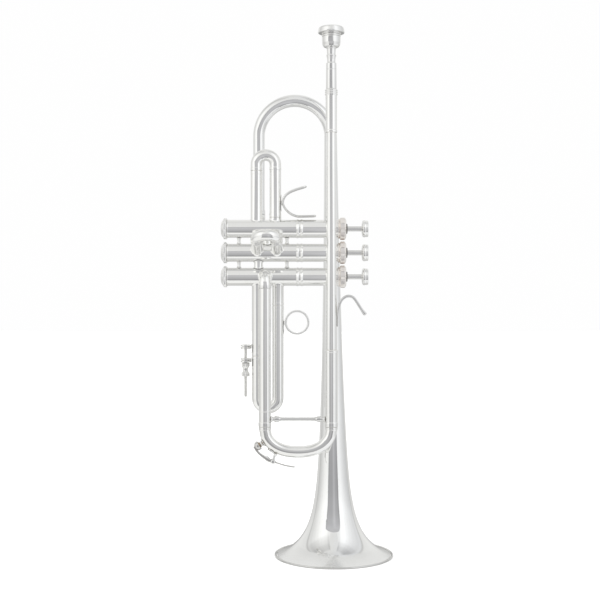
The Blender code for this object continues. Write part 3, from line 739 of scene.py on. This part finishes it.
for i in range(3):
    n = f"valve_{i + 1}"
    here = P(0, VALVE_Y, VALVE_Z[i])
    piece(f"{n}_bottom_cap_look", [lathe(
        [(9.2, -109.35), (10.3, -109.35), (10.64, -109.7), (10.64, -112.25), (10.3, -112.55), (9.4, -112.75), (8.7, -113.4),
         (7.6, -114.3), (6.5, -114.9), (5.7, -115.2), (5.2, -115.3), (2.6, -115.4), (1.6, -115.45), (1.6, -114.2), (7.0, -113.6),
         (8.9, -112.95), (9.2, -112.95)],
        here, UX, TEETH * 4, True, 0.22, base_knurl, 2)], BASE, "horn", f"{n}_bottom_cap")
    piece(f"{n}_top_cap_look", [lathe(
        [(3.0, 12.2), (5.4, 12.2), (5.9, 12.05), (8.7, 12.05), (9.6, 11.7), (10.1, 11.25), (11.1, 10.9), (11.38, 10.4), (11.38, 8.6),
         (11.38, 6.4), (11.1, 5.9), (10.1, 5.6), (10.0, 5.1), (10.35, 4.8), (10.35, 3.9), (10.0, 3.5), (9.35, 3.5), (9.35, 9.6),
         (3.0, 10.0)], here, UX, TEETH * 4, True, 0.25, cap_knurl, 2)], CAPS, "horn", f"{n}_top_cap")
    piece(f"{n}_cap_felt_look", [lathe([(3.0, 13.3), (4.9, 13.3), (5.15, 12.9), (5.15, 12.4), (3.0, 12.4)], here, UX, 56, True, 0.3)],
          FELT, "horn", f"{n}_cap_felt")
    piece(f"{n}_stem_look", [lathe(
        [(0, 32.4), (1.9, 32.4), (1.9, 28.2), (2.5, 28.0), (2.55, 27.4), (2.55, 4.6), (2.2, 4.2), (2.2, 3.6), (0, 3.6)], here, UX, 48)],
        STEM, f"valve_{i + 1}", f"{n}_stem")
    piece(f"{n}_button_look", [lathe(
        [(7.05, 34.35), (7.35, 34.5), (7.8, 34.45), (8.25, 33.9), (8.32, 33.1), (8.2, 32.5), (8.25, 32.0), (8.5, 31.3), (8.6, 30.6),
         (8.5, 29.7), (8.0, 29.0), (6.8, 28.5), (4.4, 28.15), (2.8, 28.05), (2.6, 27.6), (1.95, 27.6), (1.95, 32.55), (6.6, 32.7),
         (7.05, 33.0)], here, UX, 80, True, 0.2, None, 2)], PLATE, f"valve_{i + 1}", f"{n}_button")
    dome = [(0, 34.52)] + [(6.95 * math.sin(math.radians(a)), 33.95 + 0.57 * math.cos(math.radians(a))) for a in range(8, 89, 8)]
    piece(f"{n}_pearl_look", [lathe(dome + [(7.0, 33.8), (7.0, 33.05), (0, 33.05)], here, UX, 64, False, 0.1)],
          PEARL, f"valve_{i + 1}", f"{n}_pearl")

# inside the casings
for i in range(3):
    n = f"valve_{i + 1}"
    turns, per = 7, 18
    coil = []
    for k in range(turns * per + 1):
        t = k / (turns * per)
        w = 2 * math.pi * k / per
        coil.append((P(-34.9 + 37.5 * t, VALVE_Y + 5.1 * math.cos(w), VALVE_Z[i] + 5.1 * math.sin(w)), 0.42))
    bend = ("horn", f"valve_{i + 1}", tuple(P(-34.0, VALVE_Y, VALVE_Z[i])), tuple(P(0.5, VALVE_Y, VALVE_Z[i])))
    piece(f"{n}_spring_look", [sweep(coil, 10, tip=0.9)], STEEL, bend, f"{n}_spring")

# ------------------------------------------------------------------ valve slides
LEG = 0.45


def u_slide(name, pa, pb, up, specs_a, specs_b, bend_at, node, body, extra=()):
    """U tube: radii at (distance, radius) up leg a, round the crook and down leg b."""
    r = (pb - pa).length / 2
    mid, side = (pa + pb) / 2, (pa - pb).normalized()
    st = [(pa + up * (h * MM), q) for h, q in specs_a]
    for k in range(33):
        w = math.pi * k / 32
        st.append((mid + up * (bend_at * MM) + side * (r * math.cos(w)) + up * (r * math.sin(w)), SLIDE_R))
    st += [(pb + up * (h * MM), q) for h, q in specs_b]
    return piece(name, [sweep(st, 40, LEG)] + list(extra), PLATE, body, node)


def steps_up(h, rise=0.28, wide=2.6):
    """Radii over the ferrule where the inner leg goes into the crook."""
    return [(h - 0.12, MALE_R), (h - 0.05, SLIDE_R + rise * 0.6), (h + 0.15, SLIDE_R + rise), (h + wide, SLIDE_R + rise),
            (h + wide + 0.25, SLIDE_R + rise * 0.4), (h + wide + 0.3, SLIDE_R)]


def hug(x, z, side, half_w, half_h, base=6.04, rise=0.26, power=1.6):
    """A thin soldered foot wrapped round an upright slide tube, on its left (-1) or right (1)."""
    rings = []
    for inset, rr in ((0.4, base - 0.04), (0.0, base), (0.0, base + rise * 0.7), (0.7, base + rise)):
        ring = []
        for k in range(32):
            w = 2 * math.pi * k / 32
            c, q = math.cos(w), math.sin(w)
            e = 1.0 / (abs(c) ** power + abs(q) ** power) ** (1 / power)
            ang = (half_w - inset) * c * e / 6.2
            ring.append(P(x + side * rr * math.cos(ang), VALVE_Y + rr * math.sin(ang), z + (half_h - inset) * q * e))
        rings.append(ring)
    return shell(rings)


u_slide("first_slide_look", P(S1_X[0], VALVE_Y, 0), P(S1_X[1], VALVE_Y, 0), UZ,
        [(356, MALE_R), (380, MALE_R)] + steps_up(395.7, 0.12), [(399.0, SLIDE_R), (398.6, SLIDE_R + 0.2), (396.4, SLIDE_R + 0.2),
        (396.0, SLIDE_R), (352.6, SLIDE_R), (352.5, SLIDE_R + 0.2), (348.3, SLIDE_R + 0.2), (348.1, SLIDE_R)], 402.0,
        "first_slide", "first_slide")
u_slide("third_slide_look", P(S3_X[0], VALVE_Y, 0), P(S3_X[1], VALVE_Y, 0), -UZ,
        [(-262, MALE_R), (-230, MALE_R)] + steps_up(-206.6), [(-168.5, SLIDE_R), (-254.0, SLIDE_R), (-254.1, SLIDE_R + 0.2), (-258.0, SLIDE_R + 0.2), (-258.2, SLIDE_R)], -164.4,
        "third_slide", "third_slide")

a2, b2 = P(S2_X[0], VALVE_Y, VALVE_Z[1]), P(S2_X[1], VALVE_Y, VALVE_Z[1])
r2 = (S2_X[1] - S2_X[0]) / 2
leg2 = [(13.0, MALE_R), (20, MALE_R), (S2_SLEEVE + 0.2, MALE_R), (S2_SLEEVE + 0.3, SLIDE_R + 0.2), (S2_SLEEVE + 1.4, SLIDE_R + 0.25)]
st = [(a2 + S2_DIR * (h * MM), q) for h, q in leg2]
for k in range(33):
    w = math.pi * k / 32
    st.append(((a2 + b2) / 2 + S2_DIR * (29.6 * MM) - UX * (r2 * MM * math.cos(w)) + S2_DIR * (r2 * MM * math.sin(w)), SLIDE_R))
st += [(b2 + S2_DIR * (h * MM), q) for h, q in leg2[::-1]]
piece("second_slide_look", [sweep(st, 40, LEG)], PLATE, "second_slide", "second_slide")

# thumb saddle
saddle_line = [(-18.6, 349.8), (-24, 349.6), (-29, 349.5), (-34, 349.4), (-38.5, 349.7), (-44.5, 352.3), (-49.5, 357.0), (-52.0, 362.6),
               (-50.8, 368.4), (-46.3, 373.0), (-38, 376.6), (-28.0, 379.5)]
piece("thumb_saddle_look", [ribbon(saddle_line, 2.2, 11.0, VALVE_Y, bow=lambda s: 0.35), hug(S1_X[1], 362.6, 1, 3.4, 8.6),
      lathe([(0, 1.5), (1.9, 1.5), (1.9, 0.8), (2.2, 0.3), (2.9, 0.0), (0, 0.0)], P(-53.8, VALVE_Y, 362.6), UX, 32, False, 0.2)], TRIM, "first_slide", "thumb_saddle")

# finger ring: a round wire ring, with a foot on the slide tube
ring_pts = [(P(*p), 1.1) for p in arc((-37.9, VALVE_Y, 241.2), 11.5, 0, 360 - 360 / 72, 71)]
ring_foot = [hug(S3_X[1], 236.6, 1, 3.0, 7.4),
             lathe([(0, 1.3), (1.3, 1.3), (1.4, 0.8), (1.7, 0.3), (2.4, 0.0), (0, 0.0)], P(-51.2, VALVE_Y, 240.6), UX, 28, False, 0.2)]
piece("finger_ring_look", [sweep(ring_pts, 20, closed=True)] + ring_foot, TRIM, "third_slide", "finger_ring")


# stop assembly
def lug(z0, z1, z_foot):
    zm = (z0 + z1) / 2
    disc = lathe([(1.65, z1), (4.6, z1), (5.2, z1 - 0.25), (5.3, z1 - 0.8), (5.25, zm + 0.5), (3.4, zm + 0.44), (3.4, zm - 0.36),
                  (5.25, zm - 0.42), (5.3, z0 + 0.8), (5.2, z0 + 0.25), (4.6, z0), (1.65, z0)], P(STOP_X, VALVE_Y, 0), UZ, 64, True, 0.12)
    arm = sweep([(P(STOP_X + 3.4, VALVE_Y, zm), 1.7), (P(STOP_X + 4.4, VALVE_Y, zm), 1.5), (P(STOP_X + 5.0, VALVE_Y, zm), 1.55),
                 (P(STOP_X + 5.5, VALVE_Y, zm), 1.75), (P(STOP_X + 5.9, VALVE_Y, zm), 2.1)], 28)
    return [disc, arm, hug(S3_X[0], z_foot, -1, 3.6, 5.2)]


piece("stop_post_look", lug(214.2, 218.6, 214.6), FITTING, "horn", "stop_post")
piece("stop_eye_look", lug(200.6, 204.8, 201.3), FITTING, "third_slide", "stop_eye")
rod_prof = [(0, 219.0), (1.2, 219.0)]
h = 218.6
while h > 166.2:
    rod_prof += [(1.48, h), (1.48, h - 0.22), (1.22, h - 0.42), (1.22, h - 0.55)]
    h -= 0.7
rod_prof += [(1.2, 165.8), (0.9, 165.4), (0, 165.4)]
piece("stop_rod_look", [lathe(rod_prof, P(STOP_X, VALVE_Y, 0), UZ, 20, False, 0.0)], FITTING, "horn", "stop_rod")


def nut_knurl(r, h, w):
    if r > 3.9:
        return r - 0.2 * (0.5 - 0.5 * math.cos(26 * w))
    return r


piece("stop_nuts_look", [lathe(
    [(1.65, 200.1), (3.4, 200.1), (4.1, 199.6), (4.1, 196.6), (3.5, 195.7), (2.7, 194.7), (2.6, 193.2), (1.65, 193.2)],
    P(STOP_X, VALVE_Y, 0), UZ, 104, True, 0.2, nut_knurl, 2), lathe(
    [(1.65, 192.9), (2.6, 192.9), (2.7, 191.5), (3.5, 190.5), (4.1, 189.7), (4.1, 186.8), (3.4, 186.3), (1.65, 186.3)],
    P(STOP_X, VALVE_Y, 0), UZ, 104, True, 0.2, nut_knurl, 2)], WORN_AND_SHADED, "stop_nuts", "stop_nuts")

# ------------------------------------------------------------------ mouthpiece and leadpipe
lead = P(LEAD_X, LEAD_Y, 0)
piece("mouthpiece_look", [lathe(
    [(8.2, 535.4), (8.55, 536.7), (9.3, 537.45), (10.4, 537.70), (11.5, 537.5), (12.35, 536.8), (12.75, 535.6), (13.1, 533.4),
     (13.32, 532.6), (13.26, 531.9), (12.8, 531.5), (10.4, 531.3), (9.45, 531.1), (9.45, 530.3), (8.85, 530.05), (8.85, 529.6),
     (9.42, 529.35), (9.42, 528.35), (8.85, 528.1), (8.85, 527.65), (9.3, 527.4), (9.28, 525.0), (9.2, 521.6), (8.7, 519.4), (7.6, 517.9), (5.9, 517.2), (5.0, 517.1),
     (5.0, 516.1), (4.5, 515.8), (4.35, 512.6), (4.25, 509.9), (4.9, 509.6), (5.05, 509.1), (4.9, 508.5), (4.6, 508.1), (4.15, 505.0),
     (4.05, 502.2), (4.9, 501.6), (5.15, 501.1), (5.2, 495.4), (5.08, 495.2), (5.08, 494.9), (5.22, 494.7), (5.35, 476.6),
     (4.55, 453.95), (4.05, 453.9), (1.9, 519.0), (1.95, 520.6), (2.6, 522.6), (4.6, 525.2), (6.3, 528.2), (7.4, 531.6)],
    lead, UZ, 96, True, 0.10, None, 2)], MOUTH, "mouthpiece", "mouthpiece", sharp=45)
piece("mouthpiece_receiver_look", [lathe(
    [(5.62, 475.15), (5.85, 475.2), (6.45, 474.3), (6.46, 474.1), (5.95, 473.2), (6.5, 472.25), (6.5, 472.05), (5.95, 471.1), (6.46, 470.2), (6.45, 470.0), (5.85, 469.1), (5.75, 468.8), (5.66, 434.9),
     (5.66, 434.5), (5.95, 434.2), (6.0, 433.2), (5.95, 432.1), (5.7, 431.9), (5.0, 431.9), (5.0, 449.9)],
    lead, UZ, 72, True, 0.22)], PLATE, "horn", "mouthpiece_receiver")
piece("leadpipe_look", [lathe(
    [(4.15, 449.2), (4.6, 449.2), (4.65, 431), (5.0, 360), (5.3, 300), (5.6, 240), (5.7, 219), (5.7, 214.4), (5.5, 214.0), (5.45, 203.0),
     (4.95, 203.0), (4.95, 214.0), (4.2, 431)], lead, UZ, 72, True, 0.2)], PLATE, "horn", "leadpipe")
piece("upper_slide_tube_look", [lathe(
    [(5.95, 213.7), (6.5, 213.7), (6.8, 213.3), (6.8, 211.9), (6.55, 211.5), (6.4, 211.3), (6.4, 141.6), (6.7, 141.3), (6.75, 140.3),
     (6.7, 137.3), (6.5, 136.95), (5.95, 136.95)], lead, UZ, 72, True, 0.22)], PLATE, "horn", "upper_slide_tube")
piece("lower_slide_tube_look", [lathe(
    [(5.6, 275.3), (6.05, 275.3), (6.05, 153.0), (6.3, 152.8), (6.3, 152.0), (6.05, 151.8), (6.05, 141.6), (6.45, 141.3), (6.5, 140.3), (6.45, 137.3), (6.3, 136.95), (5.6, 136.95)],
    P(LOWER_X, LEAD_Y, 0), UZ, 72, True, 0.22)], PLATE, "horn", "lower_slide_tube")

# ------------------------------------------------------------------ main tuning slide
HALF = (LEAD_X - LOWER_X) / 2
CROOK_C = ((LEAD_X + LOWER_X) / 2, CROOK_Z)


def crook(deg, out=0.0):
    w = math.radians(deg)
    c, s = math.cos(w), math.sin(w)
    e = 2 / CROOK_N
    x = -HALF * math.copysign(abs(c) ** e, c)
    z = -CROOK_DROP * abs(s) ** e
    nx = math.copysign((abs(x) / HALF) ** (CROOK_N - 1) / HALF, x)
    nz = -((abs(z) / CROOK_DROP) ** (CROOK_N - 1)) / CROOK_DROP
    n = Vector((nx, nz)).normalized() * out
    return P(CROOK_C[0] + x + n.x, LEAD_Y, CROOK_C[1] + z + n.y)


low, top = P(LOWER_X, LEAD_Y, 0), P(LEAD_X, LEAD_Y, 0)
ends_low = [(190, 5.3), (136.86, 5.3), (136.82, 6.05), (136.6, 6.3), (134.4, 6.3), (134.1, 6.0), (134.0, 5.85)]
ends_top = [(190, 5.65), (136.86, 5.65), (136.82, 6.15), (136.6, 6.4), (134.4, 6.4), (134.1, 6.0), (134.0, 5.85)]
st = [(low + UZ * (h * MM), r) for h, r in ends_low]
for k in range(7, 74):
    st.append((crook(180 * k / 80), CROOK_R))
st += [(top + UZ * (h * MM), r) for h, r in ends_top[::-1]]
nip_a = crook(NIP, CROOK_R - 0.6)
nd = (crook(NIP, CROOK_R + 3.1) - nip_a).normalized()
nipple = lathe([(1.5, 3.7), (2.3, 3.7), (2.5, 3.3), (2.5, 2.4), (2.9, 1.7), (3.6, 1.1), (4.3, 0.5), (4.5, 0.0), (1.5, 0.0)], nip_a, nd, 40, True, 0.2)
piece("main_tuning_slide_look", [sweep(st, 48, 0.5), nipple], PLATE, "main_tuning_slide", "main_tuning_slide")

bx = P(LOWER_X + 6.4, LEAD_Y, 144.6)
piece("main_slide_brace_look", [lathe(
    [(0, 53.5), (3.0, 53.5), (3.05, 53.1), (2.4, 52.4), (2.0, 51.6), (2.0, 51.0), (2.7, 50.2), (2.95, 49.2), (2.9, 47.4), (2.6, 45.9),
     (2.0, 44.4), (1.8, 43.4), (1.72, 42.0), (1.72, 11.5), (1.8, 10.1), (2.0, 9.1), (2.6, 7.6), (2.9, 6.1), (2.95, 4.3), (2.7, 3.3),
     (2.0, 2.5), (2.0, 1.9), (2.4, 1.1), (3.05, 0.4), (3.0, 0), (0, 0)], bx, UX, 40, False, 0.15, None, 2)], STEM, "horn", "main_slide_brace")

# ------------------------------------------------------------------ water key
px, pz = PIVOT


def ear(y):
    eye = lathe([(0.95, 0.7), (1.9, 0.7), (2.25, 0.45), (2.35, 0.0), (2.25, -0.45), (1.9, -0.7), (0.95, -0.7)], P(px, y, pz), UY, 36, True, 0.2)
    arm = sweep([(P(px + a, y, pz + b), r) for a, b, r in ((0.5, 1.9, 1.15), (0.9, 3.4, 1.15), (1.5, 5.2, 1.2), (2.3, 6.8, 1.45), (3.0, 7.9, 1.8))], 20)
    return [eye, arm]


saddle_foot = []
m = 32
for inset, off in ((0.5, CROOK_R + 0.22), (0.0, CROOK_R + 0.4), (0.0, CROOK_R + 0.95), (0.35, CROOK_R + 1.25)):
    ring = []
    for k in range(m):
        w = 2 * math.pi * k / m
        c, q = math.cos(w), math.sin(w)
        e = 1.0 / (abs(c) ** 2.6 + abs(q) ** 2.6) ** (1 / 2.6)
        deg = 47.5 + (7.2 - inset) * c * e
        ang = (4.4 - inset) * q * e / CROOK_R
        base = crook(deg, 0)
        nrm = (crook(deg, 1.0) - base).normalized()
        ring.append(base + (nrm * math.cos(ang) + UY * math.sin(ang)) * (off * MM))
    saddle_foot.append(ring)
pin = lathe([(0, 9.2), (1.3, 9.2), (1.75, 8.95), (1.85, 8.5), (1.75, 8.1), (1.5, 7.9), (1.0, 7.8), (1.0, 0.9), (1.5, 0.8), (1.5, 0.2), (1.2, 0), (0, 0)],
            P(px, LEAD_Y + 4.7, pz), -UY, 32, False, 0.12, None, 2)
piece("water_key_bracket_look", ear(LEAD_Y - 3.3) + ear(LEAD_Y + 3.3) + [shell(saddle_foot), pin], FITTING, "main_tuning_slide",
      "water_key_bracket")

cup_a, cup_b = crook(NIP, CROOK_R + 4.5), crook(NIP, CROOK_R + 9.2)
cd = (cup_b - cup_a).normalized()
arm_line = [(-81.0, 117.4), (-79.9, 115.7), (-78.2, 113.0), (-75.2, 109.7), (-70.0, 105.9), (-66.4, 103.6), (px, pz),
            (-56.6, 100.3), (-50, 98.3), (-44.5, 97.2), (-39.9, 96.6)]
arm = ribbon(arm_line, 1.8, 3.6, LEAD_Y - 1.1, taper=lambda s: 0.85 + 0.5 * smooth((s - 0.76) / 0.2),
             swell=lambda s: 1.25 + 0.75 * smooth((s - 0.25) / 0.25) * smooth((0.62 - s) / 0.06) - 0.6 * smooth((s - 0.6) / 0.1))
hub = lathe([(1.25, 2.8), (2.3, 2.8), (2.5, 2.5), (2.5, 0.3), (2.3, 0), (1.25, 0)], P(px, LEAD_Y - 2.5, pz), UY, 36, True, 0.15)
cup = lathe([(0, 4.9), (1.4, 4.85), (3.0, 4.3), (4.1, 3.3), (4.45, 2.3), (4.45, 0.9), (4.7, 0.7), (4.7, 0.15), (4.45, 0), (3.25, 0), (3.2, 3.0),
             (0, 3.0)], cup_a, cd, 44, False, 0.16)
piece("water_key_lever_look", [arm, hub, cup], KEY, "water_key", "water_key_lever")
cork_a = crook(NIP, CROOK_R + 3.4)
piece("water_key_cork_look", [lathe([(0, 3.7), (2.8, 3.7), (2.85, 3.3), (2.85, 0.3), (2.7, 0), (0, 0)], cork_a, cd, 36, False, 0.2)],
      CORK, "water_key", "water_key_cork")
coil = [(P(-68.6, LEAD_Y + 1.0, 107.3), 0.33), (P(-66.5, LEAD_Y + 1.0, 106.0), 0.33)]
turn_n = 3.3
for k in range(int(turn_n * 20) + 1):
    w = math.radians(150 - 18 * k)
    coil.append((P(px + 2.0 * math.cos(w), LEAD_Y + 0.9 + 1.5 * k / (turn_n * 20), pz + 2.0 * math.sin(w)), 0.33))
coil += [(P(px + 1.4, LEAD_Y + 2.45, pz + 3.6), 0.33), (P(px + 2.0, LEAD_Y + 2.5, pz + 6.0), 0.33)]
piece("water_key_spring_look", [sweep(coil, 10, tip=0.9)], STEEL,
      ("main_tuning_slide", "water_key", P(px - 1.5, LEAD_Y, pz + 1.1), P(-66.5, LEAD_Y, 106.0)), "water_key_spring")


# ------------------------------------------------------------------ braces and hook
def s_brace(name, a, b, node, ra, rb):
    """An S-shaped rod with a round saddle foot on each tube."""
    d = b - a
    st = []
    for k in range(41):
        t = k / 40
        s = smooth(t)
        q = Vector((a.x + d.x * t, a.y + d.y * t, a.z + d.z * s))
        r = 1.45 + 0.7 * (1 - smooth(min(t, 1 - t) / 0.16))
        st.append((q, r))
    rod = sweep(st, 28)
    feet = []
    for c, rr, sign in ((a, ra, 1), (b, rb, -1)):
        rings = []
        m = 32
        for inset, lift in ((0.5, 0.03), (0.0, 0.2), (0.0, 0.8), (0.9, 1.15), (1.9, 1.5)):
            ring = []
            for k in range(m):
                w = 2 * math.pi * k / m
                x = (3.6 - inset) * math.cos(w)
                z = (4.4 - inset) * math.sin(w)
                drop = rr - math.sqrt(max(rr * rr - x * x, 0.01))
                ring.append(c + Vector((x, sign * (lift - drop), z)) * MM)
            rings.append(ring)
        feet.append(shell(rings))
    piece(name, [rod] + feet, PLATE, "horn", node)


s_brace("leadpipe_brace_upper_look", P(LEAD_X, LEAD_Y + 5.0, 389), P(-3.1, -7.1, 405), "leadpipe_brace_upper", 4.9, 7.0)
s_brace("leadpipe_brace_lower_look", P(LEAD_X, LEAD_Y + 5.8, 228), P(-1.8, -10.5, 240), "leadpipe_brace_lower", 5.7, 10.2)

hook_line = [(2.7, 236.9), (2.72, 242.5), (2.85, 248.0), (3.5, 254.2), (4.7, 259.4), (6.6, 263.5), (10.4, 267.0), (15.0, 267.9),
             (19.2, 265.9), (22.6, 261.2), (25.8, 256.2), (28.8, 251.8), (31.0, 249.2)]
piece("finger_hook_look", [ribbon(hook_line, 3.0, 7.0, LEAD_Y, taper=lambda s: 0.40 + 0.36 * smooth((s - 0.12) / 0.16) + 0.24 * smooth((s - 0.8) / 0.15),
             swell=lambda s: 0.36 + 0.58 * smooth((s - 0.2) / 0.14) + 0.3 * smooth((s - 0.86) / 0.1))],
      STEM, "horn", "finger_hook")

# ------------------------------------------------------------------ carried-over solids
shown = {"piston": MONEL, "guide": BRASS}
for n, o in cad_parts.items():
    for key, look in shown.items():
        if n.endswith(key):
            o.data.materials.clear()
            o.data.materials.append(look)
            for poly in o.data.polygons:
                poly.material_index = 0

# ------------------------------------------------------------------ floor, light, camera
scene = bpy.context.scene
scene.view_settings.view_transform = "Standard"
scene.view_settings.look = "None"
scene.view_settings.exposure = 0.0


def sheet_object(name, corners, look):
    me = bpy.data.meshes.new(name)
    me.from_pydata([tuple(c) for c in corners], [], [(0, 1, 2, 3)])
    me.materials.append(look)
    ob = bpy.data.objects.new(name, me)
    scene.collection.objects.link(ob)
    return ob


g = Graph("floor_look")
g.link(g.ramp(g.noise(3.0, 3.0), [(0.3, (0.90, 0.90, 0.90)), (0.7, (0.92, 0.92, 0.915))]), g.b.inputs["Base Color"])
g.b.inputs["Roughness"].default_value = 0.9
g.b.inputs["Specular IOR Level"].default_value = 0.1
ground = sheet_object("floor", [(-6, -6, -0.0002), (6, -6, -0.0002), (6, 8, -0.0002), (-6, 8, -0.0002)], g.m)
ground.visible_glossy = False


def between(x, table):
    """Smooth value of a table of (x, value) pairs."""
    if x <= table[0][0]:
        return table[0][1]
    for (a, va), (b, vb) in zip(table, table[1:]):
        if x <= b:
            return va + (vb - va) * smooth((x - a) / (b - a))
    return table[-1][1]


def soft_light(name, verts, faces, tones):
    """A surface that only reflections see, with its brightness painted on its points."""
    m = bpy.data.materials.new(name)
    m.use_nodes = True
    t = m.node_tree
    t.nodes.clear()
    out = t.nodes.new("ShaderNodeOutputMaterial")
    e = t.nodes.new("ShaderNodeEmission")
    a = t.nodes.new("ShaderNodeAttribute")
    a.attribute_name = "tone"
    t.links.new(a.outputs["Color"], e.inputs["Color"])
    t.links.new(e.outputs[0], out.inputs[0])
    me = bpy.data.meshes.new(name)
    me.from_pydata([tuple(v) for v in verts], [], faces)
    paint = me.color_attributes.new("tone", "FLOAT_COLOR", "POINT")
    for k, c in enumerate(tones):
        paint.data[k].color = (*c, 1)
    me.materials.append(m)
    ob = bpy.data.objects.new(name, me)
    scene.collection.objects.link(ob)
    ob.visible_camera = False
    ob.visible_diffuse = False
    ob.visible_shadow = False
    ob.visible_transmission = False
    return ob


# azimuth from the front (-Y), brightness of the soft boxes and the backdrop at eye level
RIGHT = [(0, 0.80), (24, 0.92), (36, 1.12), (50, 1.12), (62, 1.02), (75, 0.92), (90, 0.83), (107, 0.75), (115, 0.78), (118, 0.70), (121, 0.57), (124, 0.72), (127, 0.81), (150, 0.86),
         (161, 0.80), (168, 0.54), (180, 0.44)]
LEFT = [(0, 0.80), (24, 0.94), (36, 1.10), (50, 1.12), (64, 1.08), (78, 0.96), (92, 0.85), (104, 0.76), (111, 0.76), (114, 0.68), (117, 0.55), (120, 0.72), (123, 0.81), (150, 0.86),
        (161, 0.80), (168, 0.54), (180, 0.44)]
BACK = [(0, 0.80), (60, 0.80), (100, 0.74), (128, 0.76), (150, 0.82), (180, 0.86)]


def studio(phi, th):
    """Brightness of the room in a direction: azimuth from the front, elevation, in degrees."""
    a = abs(phi)
    eye = between(a, RIGHT if phi > 0 else LEFT)
    eye *= between(th, [(-14, 0.80), (-3, 0.87), (1, 0.93), (7, 1.0)])
    high = between(a, BACK)
    top = 74 if phi > 0 else 70
    if a < 24:
        top = 34 + (top - 34) * smooth((a - 16) / 8)
    elif a > 100:
        top = max(14, top - (a - 100) * 1.2)
    if th >= 0:
        fade = between(th, [(40, 1.0), (50, 0.95), (58, 0.80), (68, 0.64), (76, 0.58)] if phi > 0 else
                       [(36, 1.0), (45, 0.84), (52, 0.76), (64, 0.62), (74, 0.56)])
        eye *= 1 + (fade - 1) * smooth((a - 16) / 8) * smooth((125 - a) / 25)
        room = between(th, [(0, high), (58, high), (76, 0.78), (90, 0.72)])
        k = smooth((th - top) / 7)
        v = eye * (1 - k) + room * k
    else:
        ground_tone = 0.93 if a < 90 else 0.93 - 0.30 * smooth((a - 90) / 60)
        k = smooth((-th - 12) / 16)
        v = eye * (1 - k) + ground_tone * k
    return v


verts, tones, faces = [], [], []
NA, NE = 180, 72
for j in range(NE + 1):
    th = -90 + 180 * j / NE
    for k in range(NA):
        phi = -180 + 360 * k / NA
        d = Vector((math.sin(math.radians(phi)) * math.cos(math.radians(th)),
                    -math.cos(math.radians(phi)) * math.cos(math.radians(th)), math.sin(math.radians(th))))
        verts.append(d * 7.0 + Vector((0, 0, 0.26)))
        v = studio(phi, th)
        cool = smooth((phi + 30) / 90) * (1 if phi < 120 else 0)
        tones.append((v * (1.0 - 0.012 * cool), v * (1.0 - 0.004 * cool), v * (0.985 + 0.02 * cool)))
for j in range(NE):
    for k in range(NA):
        m = (k + 1) % NA
        faces.append((j * NA + k, j * NA + m, (j + 1) * NA + m, (j + 1) * NA + k))
soft_light("studio_dome", verts, faces, tones)

# the grey gap between the soft boxes, leaning away from the floor: (height, distance, left, right)
GAP = [(0.0, 0.270, -0.235, 0.250), (0.104, 0.345, -0.208, 0.227), (0.203, 0.416, -0.281, 0.280), (0.33, 0.508, -0.275, 0.325),
       (0.42, 0.572, -0.330, 0.330), (0.50, 0.630, -0.475, 0.310)]
GAP_TONE = [(0.0, 0.32), (0.06, 0.35), (0.12, 0.44), (0.22, 0.50), (0.35, 0.56), (0.50, 0.53), (0.80, 0.47), (1.0, 0.42), (1.4, 0.40)]
for k in range(1, 10):
    far = 0.63 + 2.22 * k / 9
    tall = 0.50 + 0.37 * (far - 0.63)
    d = far - LEAD_Y * -MM
    side = between(tall, [(0.50, 28.5), (0.62, 23.7), (0.80, 18.7), (1.0, 15.0)])
    GAP.append((tall, far, 0.024 - d * math.tan(math.radians(40)), 0.024 + d * math.tan(math.radians(side))))
verts, tones, faces = [], [], []
NX, NZ = 48, 96
for j in range(NZ + 1):
    z = GAP[-1][0] * (j / NZ) ** 1.3
    lo_g = max(k for k in range(len(GAP) - 1) if GAP[k][0] <= z + 1e-9)
    a, b = GAP[lo_g], GAP[lo_g + 1]
    q = min(1.0, (z - a[0]) / (b[0] - a[0]))
    far, x0, x1 = (a[k] + (b[k] - a[k]) * q for k in (1, 2, 3))
    for k in range(NX + 1):
        s = k / NX
        verts.append(Vector((x0 + (x1 - x0) * s, -far, z)))
        v = between(z, GAP_TONE)
        low = 1 - smooth((z - 0.2) / 0.2)
        v += low * (0.11 * math.exp(-((s - 0.58) / 0.10) ** 2) - 0.05 * smooth((0.16 - s) / 0.16) - 0.07 * smooth((s - 0.80) / 0.2))
        tones.append((v * 0.99, v * 0.99, v * 1.015))
for j in range(NZ):
    for k in range(NX):
        faces.append((j * (NX + 1) + k, j * (NX + 1) + k + 1, (j + 1) * (NX + 1) + k + 1, (j + 1) * (NX + 1) + k))
soft_light("studio_gap", verts, faces, tones)

world = bpy.data.worlds.new("studio")
scene.world = world
world.use_nodes = True
t = world.node_tree
bg = t.nodes["Background"]
lp = t.nodes.new("ShaderNodeLightPath")
mix = t.nodes.new("ShaderNodeMix")
mix.data_type = "RGBA"
fac = [x for x in mix.inputs if x.name == "Factor" and x.enabled][0]
ca = [x for x in mix.inputs if x.name == "A" and x.enabled][0]
cb = [x for x in mix.inputs if x.name == "B" and x.enabled][0]
t.links.new(lp.outputs["Is Camera Ray"], fac)
ca.default_value = (0.88, 0.88, 0.875, 1)
cb.default_value = (0.995, 0.995, 0.995, 1)
t.links.new([x for x in mix.outputs if x.enabled][0], bg.inputs["Color"])
bg.inputs["Strength"].default_value = 1.0

lamp = bpy.data.lights.new("top_light", "SUN")
lamp.energy = 1.8
lamp.angle = math.radians(50)
lo = bpy.data.objects.new("top_light", lamp)
lo.rotation_euler = (math.radians(24), math.radians(-14), 0)
lo.visible_glossy = False
scene.collection.objects.link(lo)

cam = bpy.data.cameras.new("camera")
cam.lens = 65.7
cam.sensor_width = 36
cam.clip_end = 50
co = bpy.data.objects.new("camera", cam)
co.location = ((-34.9 + BELL_X) * MM, -1.134, 0.264)
co.rotation_euler = (math.radians(90), 0, 0)
scene.collection.objects.link(co)
scene.camera = co

bpy.context.view_layer.update()
